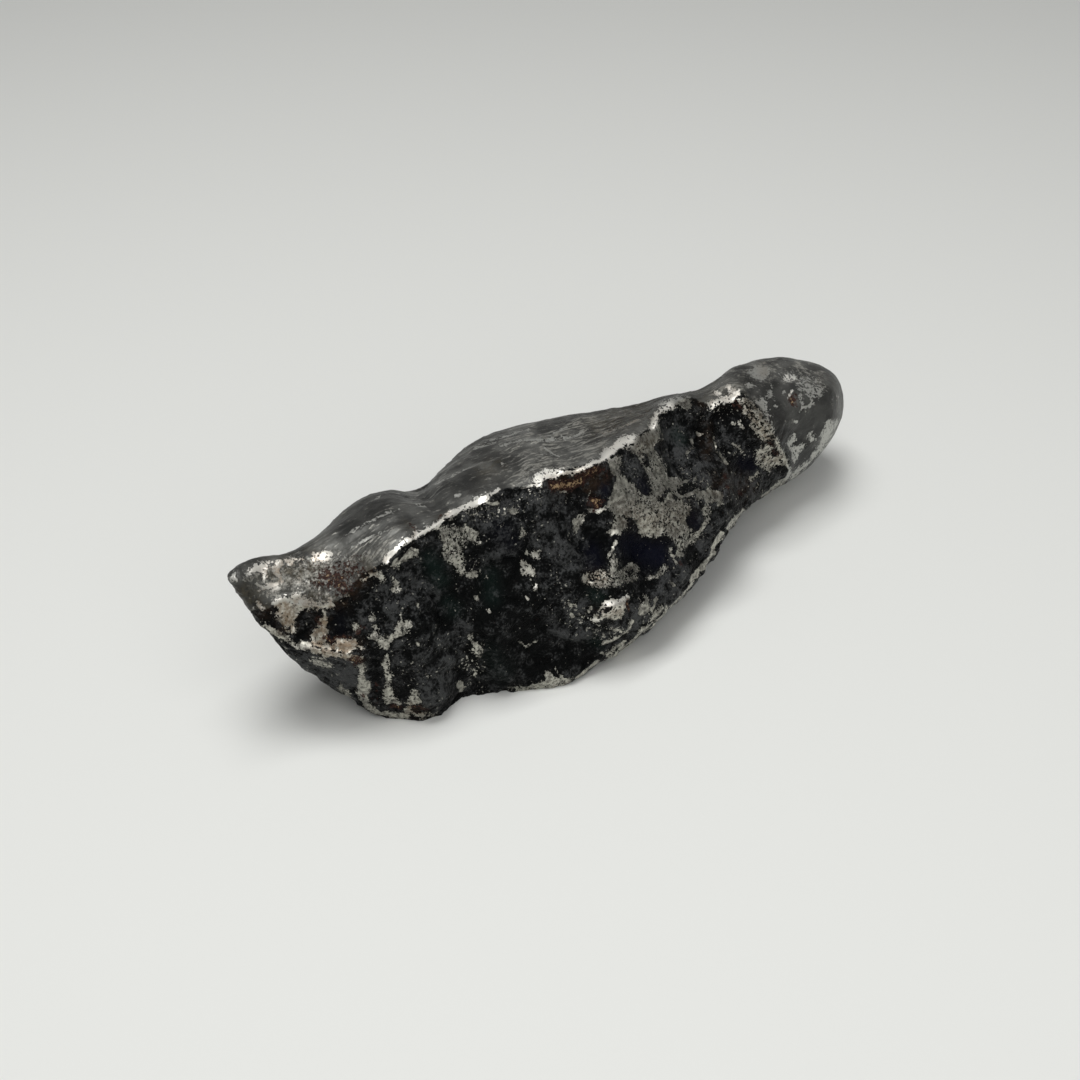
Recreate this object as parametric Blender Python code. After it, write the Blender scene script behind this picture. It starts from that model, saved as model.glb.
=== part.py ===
"""Iron meteorite: one solid lump of nickel-iron, drawn like a ship's hull from long lines.

The stone lies along X, from its pointed beak at -X to its round head at +X. Its front, at -Y,
has the worn crest and the thumbprint hollows, and its flat spot lies on Z = 0.
"""

import math

import bmesh
import bpy
from mathutils import Vector, noise

MM = 0.001

# Driving dimensions, in millimetres.
BEAK_X = -32.0
HEAD_X = 44.9
BODY_RINGS = 70

# Where the closer rings of the two round tips stand, measured from each tip.
BEAK_RINGS = [0.05, 0.18, 0.4, 0.7, 1.1, 1.6, 2.2, 2.9]
HEAD_RINGS = [0.1, 0.4, 0.9, 1.6, 2.4, 3.2]

# How blunt each end is: the length over which the last rings close to a point.
BEAK_ROUNDING = 0.5
HEAD_ROUNDING = 8.5

# Hull lines, each from beak to head. A point is its x, y and z in millimetres and how crisp
# the line is there, from 0 for a round turn to 1 for a sharp edge.
CREST = [
    (-32.0, 1.1, 18.0, 0), (-31, 0.6, 18.0, 0), (-29, 0.6, 16.4, 0.3), (-27, -0.3, 14.9, 0.7),
    (-24, -2.6, 14.9, 0.8), (-22, -3.5, 16.2, 0.8), (-20, -4.4, 17.9, 0.7),
    (-17.5, -4.4, 19.6, 0.7), (-15, -3.8, 20.0, 0.8), (-12, -2.9, 20.1, 0.8), (-9, -2.2, 20.1, 0.8),
    (-6.5, -2.8, 20.0, 0.7), (-3, -2.5, 20.0, 0.8), (0, -2.6, 20.0, 0.8), (2.6, -3.0, 20.0, 0.7),
    (6, -2.3, 19.9, 0.8), (9.5, -1.2, 19.8, 0.8), (12, -0.2, 19.5, 0.6), (15, 1.8, 19.5, 0.7),
    (18.5, 3.2, 19.2, 0.6), (21.5, 3.0, 18.4, 0.2), (25, 2.4, 17.8, 0.5), (29, 1.2, 16.0, 0),
    (34, 1.8, 15.0, 0), (40, 3.4, 14.2, 0), (44.9, 6.0, 13.0, 0),
]
TOP = [
    (-32.0, 1.5, 18.2, 0), (-31, 1.6, 18.6, 0), (-28, 2.0, 17.9, 0), (-24, 1.2, 17.5, 0),
    (-20, 0.4, 19.0, 0), (-16, 1.6, 19.8, 0), (-8, 3.4, 19.2, 0), (0, 4.5, 19.0, 0),
    (8, 5.0, 18.8, 0), (15, 6.0, 18.7, 0), (20, 5.6, 18.3, 0), (25, 4.8, 18.0, 0),
    (30, 5.4, 17.4, 0), (36, 7.5, 16.0, 0), (44.9, 9.0, 14.0, 0),
]
SHOULDER = [
    (-32.0, 2.1, 18.0, 0), (-31, 2.7, 18.1, 0), (-28, 3.9, 17.0, 0), (-24, 4.0, 16.2, 0),
    (-20, 5.0, 16.8, 0), (-16, 7.0, 17.2, 0), (-12, 8.6, 16.0, 0), (-8, 9.6, 15.0, 0),
    (-4, 10.0, 15.8, 0), (0, 11.6, 16.0, 0), (5, 12.2, 15.8, 0), (10, 11.2, 16.0, 0),
    (15, 9.4, 16.4, 0), (20, 8.4, 16.6, 0), (25, 7.8, 16.4, 0), (30, 9.4, 16.0, 0),
    (36, 12.0, 14.0, 0), (44.9, 13.0, 12.0, 0),
]
BACK = [
    (-32.0, 2.3, 17.5, 0), (-31, 3.1, 17.0, 0), (-28, 5.2, 13.8, 0), (-24, 6.4, 12.0, 0),
    (-20, 7.6, 11.0, 0), (-12, 11.0, 9.0, 0), (-4, 12.4, 8.5, 0), (5, 13.6, 8.5, 0),
    (12, 13.0, 9.0, 0), (20, 11.6, 10.0, 0), (26, 11.4, 10.0, 0), (34, 14.0, 9.5, 0),
    (44.9, 14.0, 8.0, 0),
]
HEEL = [
    (-32.0, 2.1, 17.0, 0), (-31, 2.6, 15.8, 0), (-28, 4.0, 12.0, 0), (-24, 3.0, 6.2, 0),
    (-20, 2.8, 2.0, 0), (-15, 4.0, -0.4, 0), (-8, 6.0, -0.8, 0), (0, 8.0, -0.8, 0),
    (8, 8.6, -0.6, 0), (14, 7.6, 2.2, 0), (20, 7.2, 4.6, 0), (27, 8.6, 4.4, 0), (34, 10.0, 3.8, 0),
    (44.9, 11.0, 4.0, 0),
]
KEEL = [
    (-32.0, 1.5, 16.8, 0), (-31, 1.5, 15.4, 0), (-28, 1.4, 11.0, 0.2), (-24, -1.2, 4.8, 0.2),
    (-20, -3.4, 0.3, 0.5), (-16, -5.2, -0.5, 0.5), (-12, -4.8, 0.6, 0.4), (-8, -6.0, -0.6, 0.6),
    (-4, -8.0, -0.5, 0.7), (0, -8.8, 0.3, 0.7), (5, -8.4, 1.6, 0.7), (10, -7.3, 3.4, 0.7),
    (15, -5.4, 5.2, 0.7), (20, -3.0, 6.6, 0.7), (25, 0.2, 6.0, 0.4), (30, 2.4, 4.8, 0),
    (36, 4.4, 4.0, 0), (44.9, 7.0, 4.0, 0),
]
WAIST = [
    (-32.0, 1.0, 17.1, 0), (-31, 0.4, 16.2, 0), (-29.5, 0.0, 14.0, 0.4), (-27.5, -1.3, 11.3, 0.8),
    (-25, -2.9, 9.8, 0.8), (-22.4, -4.6, 9.2, 0.6), (-20, -5.7, 9.4, 0.2), (-16, -6.3, 9.0, 0),
    (-12, -6.2, 9.0, 0), (-8, -7.2, 9.0, 0), (-4, -8.6, 8.5, 0), (0, -9.3, 8.5, 0),
    (5, -8.8, 9.0, 0), (10, -7.4, 10.0, 0), (15, -5.4, 11.0, 0), (20, -3.4, 12.0, 0),
    (25, -1.2, 12.0, 0), (30, 0.4, 11.0, 0), (36, 1.8, 10.0, 0), (44.9, 4.0, 9.0, 0),
]

# The lines in order round the stone, each with the ring points from it to the next one.
LINES = [(CREST, 9), (TOP, 5), (SHOULDER, 5), (BACK, 5), (HEEL, 7), (KEEL, 9), (WAIST, 12)]
RING_POINTS = sum(count for line, count in LINES)

# Thumbprint hollows melted into the stone: the middle, the half length and half height of the
# bowl in its face, how far the bowl leans in that face in degrees, and its depth.
HOLLOWS = [
    ((17.0, 0.1, 17.2), 2.8, 3.9, 0, 1.8), ((21.8, -0.4, 15.8), 2.9, 3.0, 0, 1.5),
    ((23.2, -1.8, 12.0), 3.2, 3.4, 20, 1.6),
    ((7.0, -7.8, 10.9), 3.3, 2.6, 0, 1.6), ((1.5, -6.7, 14.4), 2.6, 4.2, 0, 1.6),
    ((2.2, -4.0, 18.6), 3.4, 2.0, 0, 1.0), ((-3.4, -9.0, 5.6), 6.0, 5.2, 0, 1.3),
    ((-6.6, -6.4, 13.0), 5.4, 4.4, 0, 1.3), ((-17.1, -5.7, 16.0), 3.2, 3.6, 0, 0.9),
    ((-26.6, -2.2, 12.9), 1.4, 1.8, 0, 0.7), ((-23.5, -4.2, 12.9), 1.5, 2.1, 0, 0.8),
    ((14.6, -5.4, 8.4), 2.8, 2.6, 0, 0.9), ((24.8, -0.6, 9.6), 3.4, 2.4, 0, 0.9),
    ((-14.0, 10.5, 12.0), 4.6, 3.6, 20, 1.0), ((-5.0, 12.2, 10.0), 4.0, 4.2, 0, 1.1),
    ((4.5, 13.4, 10.5), 4.4, 3.4, -15, 1.1), ((13.5, 12.6, 8.5), 4.0, 3.2, 10, 0.9),
    ((24.0, 10.6, 13.0), 3.6, 3.0, 0, 0.8), ((37.0, 13.4, 9.0), 3.6, 3.2, 0, 0.7),
]

# Ridges, and furrows where the height is negative: the points of the line, its half width and
# its height.
RIDGES = [
    ([(-13.8, -5.9, 12.5), (-12.7, -6.3, 7.1), (-12.2, -5.9, 1.6)], 2.5, -0.9),
    ([(-17.0, -6.0, 12.0), (-17.0, -6.4, 7.9), (-17.0, -6.0, 2.5)], 2.6, 0.7),
    ([(-9.6, -6.9, 9.0), (-9.4, -6.9, 4.0)], 1.8, 0.6),
    ([(2.0, -9.3, 7.6), (5.6, -9.4, 5.2), (9.0, -8.2, 5.4)], 2.6, 0.7),
    ([(21.6, 4.0, 18.4), (19.9, 1.2, 17.8), (19.8, -0.6, 15.4)], 1.4, -0.5),
    ([(25.4, 2.4, 17.4), (27.6, 0.9, 14.8), (29.7, 0.3, 11.6), (31.5, 1.0, 8.0)], 1.9, 0.6),
    ([(10.2, -7.0, 11.0), (10.6, -8.1, 6.3)], 1.2, -0.5),
    ([(-29.6, 0.0, 14.0), (-27.3, -1.4, 11.0), (-24.8, -3.1, 9.7), (-22.4, -4.7, 9.2)], 1.3, 0.45),
]

# The gentle unevenness that is left everywhere by the melting.
WAVINESS = 0.45
WAVE_LENGTH = 4.5

# The oxide crust with its worn metal, as one linear colour and alpha.
CRUST_COLOUR = (0.075, 0.075, 0.078, 1.0)
CRUST_METALLIC = 0.6
CRUST_ROUGHNESS = 0.42


def hermite(a, b, slope_a, slope_b, span, share):
    """The cubic from a to b over the span, with those slopes at its ends."""
    s2, s3 = share * share, share ** 3
    return (
        a * (2 * s3 - 3 * s2 + 1)
        + slope_a * span * (s3 - 2 * s2 + share)
        + b * (3 * s2 - 2 * s3)
        + slope_b * span * (s3 - s2)
    )


def line_at(line, x):
    """The point where a hull line crosses the section at x, and how crisp it is there."""
    points = [Vector(p) for p in line]
    last = len(points) - 2
    i = max(k for k in range(last + 1) if points[k].x <= x or k == 0)
    before, a, b, after = (points[min(max(k, 0), last + 1)] for k in (i - 1, i, i + 1, i + 2))
    slope_a = (b - before) / (b.x - before.x)
    slope_b = (after - a) / (after.x - a.x)
    span = b.x - a.x
    found = hermite(a, b, slope_a, slope_b, span, (x - a.x) / span)
    return found.to_3d(), min(max(found.w, 0.0), 1.0)


def closing(x):
    """How far open the section at x is: 1 along the stone, and 0 at its two tips."""
    openness = 1.0
    for tip, rounding in ((BEAK_X, BEAK_ROUNDING), (HEAD_X, HEAD_ROUNDING)):
        depth = min(abs(x - tip) / rounding, 1.0)
        openness *= math.sqrt(1 - (1 - depth) ** 2)
    return openness


def section(x):
    """The ring of points where the hull crosses the plane at x."""
    found = [line_at(line, x) for line, count in LINES]
    corners = [corner for corner, crispness in found]
    middle = sum(corners, Vector()) / len(corners)
    slopes = []
    for i, (corner, crispness) in enumerate(found):
        before, after = corners[i - 1], corners[(i + 1) % len(corners)]
        slopes.append((after - before) / 2 * (1 - crispness))
    ring = []
    for i, (line, count) in enumerate(LINES):
        k = (i + 1) % len(LINES)
        for step in range(count):
            ring.append(hermite(corners[i], corners[k], slopes[i], slopes[k], 1.0, step / count))
    return [middle.lerp(point, closing(x)) for point in ring]


def stations():
    """The x of every ring: even along the body and closer together at the two tips."""
    first, last = BEAK_X + BEAK_RINGS[-1], HEAD_X - HEAD_RINGS[-1]
    body = [first + (last - first) * k / (BODY_RINGS + 1) for k in range(1, BODY_RINGS + 1)]
    return [BEAK_X + d for d in BEAK_RINGS] + body + [HEAD_X - d for d in reversed(HEAD_RINGS)]


def hull():
    """The smooth stone: rings of points skinned with faces, and closed at both tips."""
    mesh = bmesh.new()
    rings = []
    for x in stations():
        rings.append([mesh.verts.new(p) for p in section(x)])
    for ring, following in zip(rings, rings[1:]):
        for j in range(RING_POINTS):
            i = (j + 1) % RING_POINTS
            mesh.faces.new((ring[j], ring[i], following[i], following[j]))
    for ring, tip_x in ((rings[0], BEAK_X), (rings[-1], HEAD_X)):
        tip = mesh.verts.new(section(tip_x)[0])
        for j in range(RING_POINTS):
            mesh.faces.new((ring[j], ring[(j + 1) % RING_POINTS], tip))
    bmesh.ops.recalc_face_normals(mesh, faces=mesh.faces)
    return mesh


def hollow_depth(point, centre, facing, hollow):
    """How far a hollow presses the point in, along the direction that its face looks."""
    middle, half_length, half_height, lean, depth = hollow
    along = (Vector((1, 0, 0)) - facing * facing.x).normalized()
    up = facing.cross(along)
    offset = point - centre
    s, t = offset.dot(along), offset.dot(up)
    turn = math.radians(lean)
    s, t = s * math.cos(turn) + t * math.sin(turn), t * math.cos(turn) - s * math.sin(turn)
    reach = (s / half_length) ** 2 + (t / half_height) ** 2
    same_side = abs(offset.dot(facing)) < half_length + half_height
    return depth * (1 - reach) if reach < 1 and same_side else 0.0


def ridge_height(point, ridge):
    """How far a ridge lifts the point, from its distance to the ridge's line."""
    line, half_width, height = ridge
    nearest = half_width
    for a, b in zip(line, line[1:]):
        a, b = Vector(a), Vector(b)
        share = min(max((point - a).dot(b - a) / (b - a).length_squared, 0.0), 1.0)
        nearest = min(nearest, (point - a.lerp(b, share)).length)
    return height * (1 - (nearest / half_width) ** 2) ** 2


def sculpt(mesh):
    """Press the hollows into the hull, raise the ridges, and leave the skin a little uneven."""
    mesh.normal_update()
    starts = [(vertex.co.copy(), vertex.normal.copy()) for vertex in mesh.verts]
    moves = [normal * WAVINESS * noise.noise(point / WAVE_LENGTH) for point, normal in starts]
    for hollow in HOLLOWS:
        centre, facing = min(starts, key=lambda start: (start[0] - Vector(hollow[0])).length)
        for i, (point, normal) in enumerate(starts):
            moves[i] -= facing * hollow_depth(point, centre, facing, hollow)
    for ridge in RIDGES:
        for i, (point, normal) in enumerate(starts):
            moves[i] += normal * ridge_height(point, ridge)
    for vertex, move in zip(mesh.verts, moves):
        vertex.co += move


def ground_flat(mesh):
    """The flat spot: whatever would reach below the table is flattened onto it."""
    for vertex in mesh.verts:
        vertex.co.z = max(vertex.co.z, 0.0)


def crust_material():
    """Dark oxide crust with the iron worn bare in places, as one even, dim metal."""
    material = bpy.data.materials.new("iron meteorite crust")
    material.use_nodes = True
    surface = material.node_tree.nodes["Principled BSDF"]
    surface.inputs["Base Color"].default_value = CRUST_COLOUR
    surface.inputs["Metallic"].default_value = CRUST_METALLIC
    surface.inputs["Roughness"].default_value = CRUST_ROUGHNESS
    return material


def centre_over_origin(mesh):
    """Move the stone so that its origin is under the middle of its box; returns the move."""
    xs = [vertex.co.x for vertex in mesh.verts]
    ys = [vertex.co.y for vertex in mesh.verts]
    move = Vector((-(min(xs) + max(xs)) / 2, -(min(ys) + max(ys)) / 2, 0))
    bmesh.ops.translate(mesh, vec=move, verts=mesh.verts)
    return move


for old in list(bpy.data.objects):
    bpy.data.objects.remove(old)

shape = hull()
sculpt(shape)
ground_flat(shape)
centring = centre_over_origin(shape)
bmesh.ops.scale(shape, vec=(MM, MM, MM), verts=shape.verts)
data = bpy.data.meshes.new("meteorite")
shape.to_mesh(data)
shape.free()
data.shade_smooth()
data.materials.append(crust_material())
meteorite = bpy.data.objects.new("meteorite", data)
bpy.context.scene.collection.objects.link(meteorite)
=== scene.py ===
"""The looks of a small iron meteorite: a pointed beak, a worn crest, thumbprint hollows and a round head.

Lengths are in metres unless a name says mm or pixels. What the photograph shows on the stone is drawn in
the photograph's own pixels, counted from its top left corner, and laid on the stone through the camera.
"""

import math

import bpy
import numpy as np
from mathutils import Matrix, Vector, noise
from mathutils.bvhtree import BVHTree


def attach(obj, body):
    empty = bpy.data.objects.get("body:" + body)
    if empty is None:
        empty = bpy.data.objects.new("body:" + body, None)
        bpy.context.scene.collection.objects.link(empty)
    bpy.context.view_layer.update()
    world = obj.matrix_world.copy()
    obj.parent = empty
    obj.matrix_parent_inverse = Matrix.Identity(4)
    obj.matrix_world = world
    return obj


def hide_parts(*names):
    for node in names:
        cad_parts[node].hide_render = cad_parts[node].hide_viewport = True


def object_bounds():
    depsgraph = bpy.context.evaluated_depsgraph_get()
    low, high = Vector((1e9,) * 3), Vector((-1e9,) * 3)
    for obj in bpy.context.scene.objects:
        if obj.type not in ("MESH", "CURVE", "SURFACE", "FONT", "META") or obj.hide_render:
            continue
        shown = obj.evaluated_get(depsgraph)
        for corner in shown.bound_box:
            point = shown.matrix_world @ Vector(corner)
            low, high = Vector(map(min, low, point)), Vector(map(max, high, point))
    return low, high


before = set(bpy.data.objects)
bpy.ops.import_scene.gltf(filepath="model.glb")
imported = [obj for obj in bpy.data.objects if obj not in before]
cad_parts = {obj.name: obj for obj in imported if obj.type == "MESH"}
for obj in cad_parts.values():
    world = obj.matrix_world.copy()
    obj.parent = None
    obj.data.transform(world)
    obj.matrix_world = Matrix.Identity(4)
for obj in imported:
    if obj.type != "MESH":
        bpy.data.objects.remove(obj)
cad_low, cad_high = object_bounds()

# Camera. It stands in front of the stone, to the left of it and above it, as in the photograph.
# The marks on the stone are laid on it through this camera, so it comes first.
MM = 0.001
PHOTO_SIZE = 1080
CAMERA_AZIMUTH = math.radians(-33)
CAMERA_ELEVATION = math.radians(35)
CAMERA_DISTANCE = 190 * MM
CAMERA_TARGET = Vector((-6.456, -1.901, 11.0)) * MM
LENS_MM = 65
SENSOR_MM = 36
PIXELS_AT_ONE = PHOTO_SIZE * LENS_MM / SENSOR_MM
PIXEL_MM = CAMERA_DISTANCE / MM / PIXELS_AT_ONE

towards_camera = Vector((
    math.sin(CAMERA_AZIMUTH) * math.cos(CAMERA_ELEVATION),
    -math.cos(CAMERA_AZIMUTH) * math.cos(CAMERA_ELEVATION),
    math.sin(CAMERA_ELEVATION),
))
camera_place = CAMERA_TARGET + towards_camera * CAMERA_DISTANCE
camera_right = Vector((0, 0, 1)).cross(towards_camera).normalized()
camera_up = towards_camera.cross(camera_right)

bpy.ops.object.select_all(action="DESELECT")
bpy.ops.object.camera_add(location=camera_place)
camera = bpy.context.object
camera.name = "camera"
camera.rotation_mode = "QUATERNION"
camera.rotation_quaternion = (-towards_camera).to_track_quat("-Z", "Y")
camera.data.lens = LENS_MM
camera.data.sensor_width = SENSOR_MM
camera.data.clip_start = 1 * MM
bpy.context.scene.camera = camera


def photo_pixels(points):
    """Where points of the scene fall in the photograph, in its pixels."""
    away = points - np.array(camera_place)
    depth = -(away @ np.array(towards_camera))
    across = PIXELS_AT_ONE * (away @ np.array(camera_right)) / depth
    upwards = PIXELS_AT_ONE * (away @ np.array(camera_up)) / depth
    return np.stack([PHOTO_SIZE / 2 + across, PHOTO_SIZE / 2 - upwards], 1)


# The meteorite: one natural lump of nickel-iron that melted outside as it fell. Its skin is a thin, dark
# crust of iron oxide, worn through to bare metal on the crest and the ridges, with rust in some hollows.
# The mesh is the CAD solid's, made finer, mostly on the side that the photograph shows.
MERGE_DISTANCE = 0.001 * MM
SEEN_FACE_COSINE = 0.42
TOP_FACE_NORMAL = 0.72
FRONT_CUTS, OTHER_CUTS = 2, 1
SMOOTH_ROUNDS, SMOOTH_SHARE = 3, 0.5

stone = bpy.data.objects.new("iron_meteorite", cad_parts["meteorite"].data.copy())
bpy.context.scene.collection.objects.link(stone)
bpy.ops.object.select_all(action="DESELECT")
stone.select_set(True)
bpy.context.view_layer.objects.active = stone
bpy.context.scene.tool_settings.mesh_select_mode = (False, False, True)
bpy.ops.object.mode_set(mode="EDIT")
bpy.ops.mesh.select_all(action="SELECT")
bpy.ops.mesh.remove_doubles(threshold=MERGE_DISTANCE)
bpy.ops.mesh.tris_convert_to_quads()
bpy.ops.object.mode_set(mode="OBJECT")
rounding = stone.modifiers.new("rounding", "SUBSURF")
rounding.levels = 1
rounding.render_levels = 1
bpy.ops.object.modifier_apply(modifier=rounding.name)


def face_values(name, width):
    """A property of all the mesh's faces as rows of numbers."""
    values = np.zeros(len(stone.data.polygons) * width)
    stone.data.polygons.foreach_get(name, values)
    return values.reshape(-1, width)


def select_faces(wanted):
    """Selects the faces that wanted picks from the mesh, and no others, and goes into edit mode."""
    bpy.ops.mesh.select_all(action="DESELECT")
    bpy.ops.object.mode_set(mode="OBJECT")
    stone.data.polygons.foreach_set("select", wanted().ravel())
    bpy.ops.object.mode_set(mode="EDIT")
    bpy.ops.mesh.select_mode(type="FACE")


def front_faces():
    """Which faces look towards the camera, apart from the smoother top."""
    normals = face_values("normal", 3)
    to_camera = np.array(camera_place) - face_values("center", 3)
    to_camera /= np.linalg.norm(to_camera, axis=1)[:, None]
    return ((normals * to_camera).sum(1) > SEEN_FACE_COSINE) & (normals[:, 2] < TOP_FACE_NORMAL)


def other_faces():
    """The top's, the back's and the underside's faces."""
    return ~front_faces()


def many_cornered_faces():
    """Which faces have more than four corners, as next to a finer stretch."""
    return face_values("loop_total", 1) > 4


bpy.ops.object.mode_set(mode="EDIT")
select_faces(front_faces)
bpy.ops.mesh.subdivide(number_cuts=FRONT_CUTS)
select_faces(many_cornered_faces)
bpy.ops.mesh.quads_convert_to_tris()
select_faces(other_faces)
bpy.ops.mesh.subdivide(number_cuts=OTHER_CUTS)
select_faces(many_cornered_faces)
bpy.ops.mesh.quads_convert_to_tris()
bpy.ops.mesh.select_all(action="SELECT")
bpy.ops.mesh.vertices_smooth(factor=SMOOTH_SHARE, repeat=SMOOTH_ROUNDS)
bpy.ops.object.mode_set(mode="OBJECT")
bpy.ops.object.shade_smooth()


def vertex_values(name, width):
    """A property of all the mesh's vertices as rows of numbers."""
    values = np.zeros(len(stone.data.vertices) * width)
    stone.data.vertices.foreach_get(name, values)
    return values.reshape(-1, width)


place = vertex_values("co", 3)
pixels = photo_pixels(place)

# The solid is a little plainer than the stone, so its edge is drawn out or in to the photographed outline.
# The places are read along that outline, in pixels, clockwise. At each one the stone's own edge is
# found, and the surface round it moves in the plane of the picture by what is missing.
OUTLINE_ROUNDS = 3
OUTLINE_REACH_PIXELS = 16
OUTLINE_BESIDE_PIXELS = 4
OUTLINE_DEEP_PIXELS = 30
OUTLINE_MOST_PIXELS = 9
OUTLINES = {
    "top": [
        (249, 560), (266, 557), (283, 553), (298, 548), (309, 541), (317, 535), (333, 522), (347, 512),
        (357, 504), (370, 497), (387, 493), (408, 491), (427, 484), (440, 472), (455, 459), (475, 442),
        (493, 433), (517, 426), (543, 420), (573, 414), (600, 410), (627, 406), (650, 400), (667, 395),
        (680, 393), (693, 391), (710, 383), (730, 369), (747, 363), (767, 358)],
    "right": [
        (840, 422), (831, 441), (822, 452), (813, 463), (806, 470), (797, 476), (791, 480), (780, 486),
        (768, 495), (752, 505), (745, 512), (736, 522), (727, 532), (720, 547), (712, 560), (704, 572),
        (694, 584), (689, 592), (680, 601), (671, 608), (665, 612), (663, 618), (650, 630), (638, 639),
        (624, 650), (604, 660), (584, 674), (573, 681), (560, 687), (540, 690), (520, 692), (500, 693)],
    "foot and beak": [
        (475, 697), (462, 699), (453, 707), (440, 715), (430, 719), (415, 722), (398, 720), (382, 717),
        (370, 711), (360, 705), (350, 699), (338, 692), (323, 681), (315, 675), (302, 666), (292, 657),
        (282, 648), (272, 636), (262, 624), (253, 616), (245, 605), (237, 593)],
}

for _ in range(OUTLINE_ROUNDS):
    shift, pull = np.zeros((len(place), 2)), np.zeros(len(place))
    for stations in OUTLINES.values():
        stations = np.array(stations, float)
        tangents = np.gradient(stations, axis=0)
        tangents /= np.linalg.norm(tangents, axis=1)[:, None]
        for station, tangent in zip(stations, tangents):
            normal = np.array([tangent[1], -tangent[0]])
            beyond = (pixels - station) @ normal
            beside = np.abs((pixels - station) @ tangent) < OUTLINE_BESIDE_PIXELS
            edge = beyond[beside & (np.abs(beyond) < OUTLINE_DEEP_PIXELS)].max() * normal
            missing = np.clip(-edge, -OUTLINE_MOST_PIXELS, OUTLINE_MOST_PIXELS)
            share = np.exp(-((pixels - station - edge) ** 2).sum(1) / OUTLINE_REACH_PIXELS ** 2)
            shift += share[:, None] * missing
            pull += share
    shift *= PIXEL_MM * MM / np.maximum(pull, 1)[:, None]
    place = place + shift[:, :1] * np.array(camera_right) - shift[:, 1:] * np.array(camera_up)
    pixels = photo_pixels(place)
stone.data.vertices.foreach_set("co", place.ravel())
stone.data.update()
outward = vertex_values("normal", 3)

# Which vertices the camera sees: those that face it with nothing of the stone between.
RAY_START = 0.3 * MM

skin = BVHTree.FromObject(stone, bpy.context.evaluated_depsgraph_get())
sight = np.array(camera_place) - place
sight /= np.linalg.norm(sight, axis=1)[:, None]
facing = (sight * outward).sum(1)
seen = facing > 0
for i in np.nonzero(seen)[0]:
    start = Vector(place[i] + outward[i] * RAY_START)
    if skin.ray_cast(start, Vector(sight[i]))[0] is not None:
        seen[i] = False


TINY = 1e-9


def line_distance(points, line, closed=False):
    """How far points are from a line through corners, in the corners' units."""
    corners = np.array(line + line[:1] if closed else line, float)
    nearest = np.full(len(points), np.inf)
    for a, b in zip(corners[:-1], corners[1:]):
        span = b - a
        along = np.clip(((points - a) @ span) / max(span @ span, TINY), 0, 1)
        gap = points - a - along[:, None] * span
        nearest = np.minimum(nearest, np.hypot(gap[:, 0], gap[:, 1]))
    return nearest


def is_inside(points, outline):
    """Whether points are inside a closed outline."""
    inside = np.zeros(len(points), bool)
    for (ax, ay), (bx, by) in zip(outline, outline[1:] + outline[:1]):
        crosses = (ay > points[:, 1]) != (by > points[:, 1])
        rise = by - ay if by != ay else 1.0
        inside ^= crosses & (points[:, 0] < ax + (points[:, 1] - ay) * (bx - ax) / rise)
    return inside


REACH_PIXELS = 16
SOFT_REACH = 3
THIN_LINE_PIXELS = 2.5
LINE_CRISPNESS = 2.2


def near(corners, reach):
    """The seen vertices within reach of the box round some corners."""
    low = np.min(corners, 0) - reach
    high = np.max(corners, 0) + reach
    return np.nonzero(seen & ((pixels > low) & (pixels < high)).all(1))[0]


def lay_patch(field, outline, sign=1):
    """Raises field to a patch's depth in mm inside its edge; sign -1 lowers it, for an island."""
    found = near(outline, REACH_PIXELS)
    depth = line_distance(pixels[found], outline, closed=True) * PIXEL_MM
    depth = np.where(is_inside(pixels[found], outline), depth, -depth)
    field[found] = np.maximum(field[found], depth) if sign > 0 else np.minimum(field[found], -depth)


def lay_line(field, half_width, line):
    """Raises field to the depth in mm inside a drawn line, half_width in pixels; thin ones are crisp."""
    found = near(line, REACH_PIXELS)
    depth = (half_width - line_distance(pixels[found], line)) * PIXEL_MM
    if half_width < THIN_LINE_PIXELS:
        depth *= LINE_CRISPNESS
    field[found] = np.maximum(field[found], depth)


def lay_soft(field, half_width, line, strength=1.0):
    """Raises field towards strength round a drawn line, fading over its half width in pixels."""
    found = near(line, SOFT_REACH * half_width)
    share = np.exp(-(line_distance(pixels[found], line) / half_width) ** 2)
    field[found] = np.maximum(field[found], strength * share)


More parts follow.
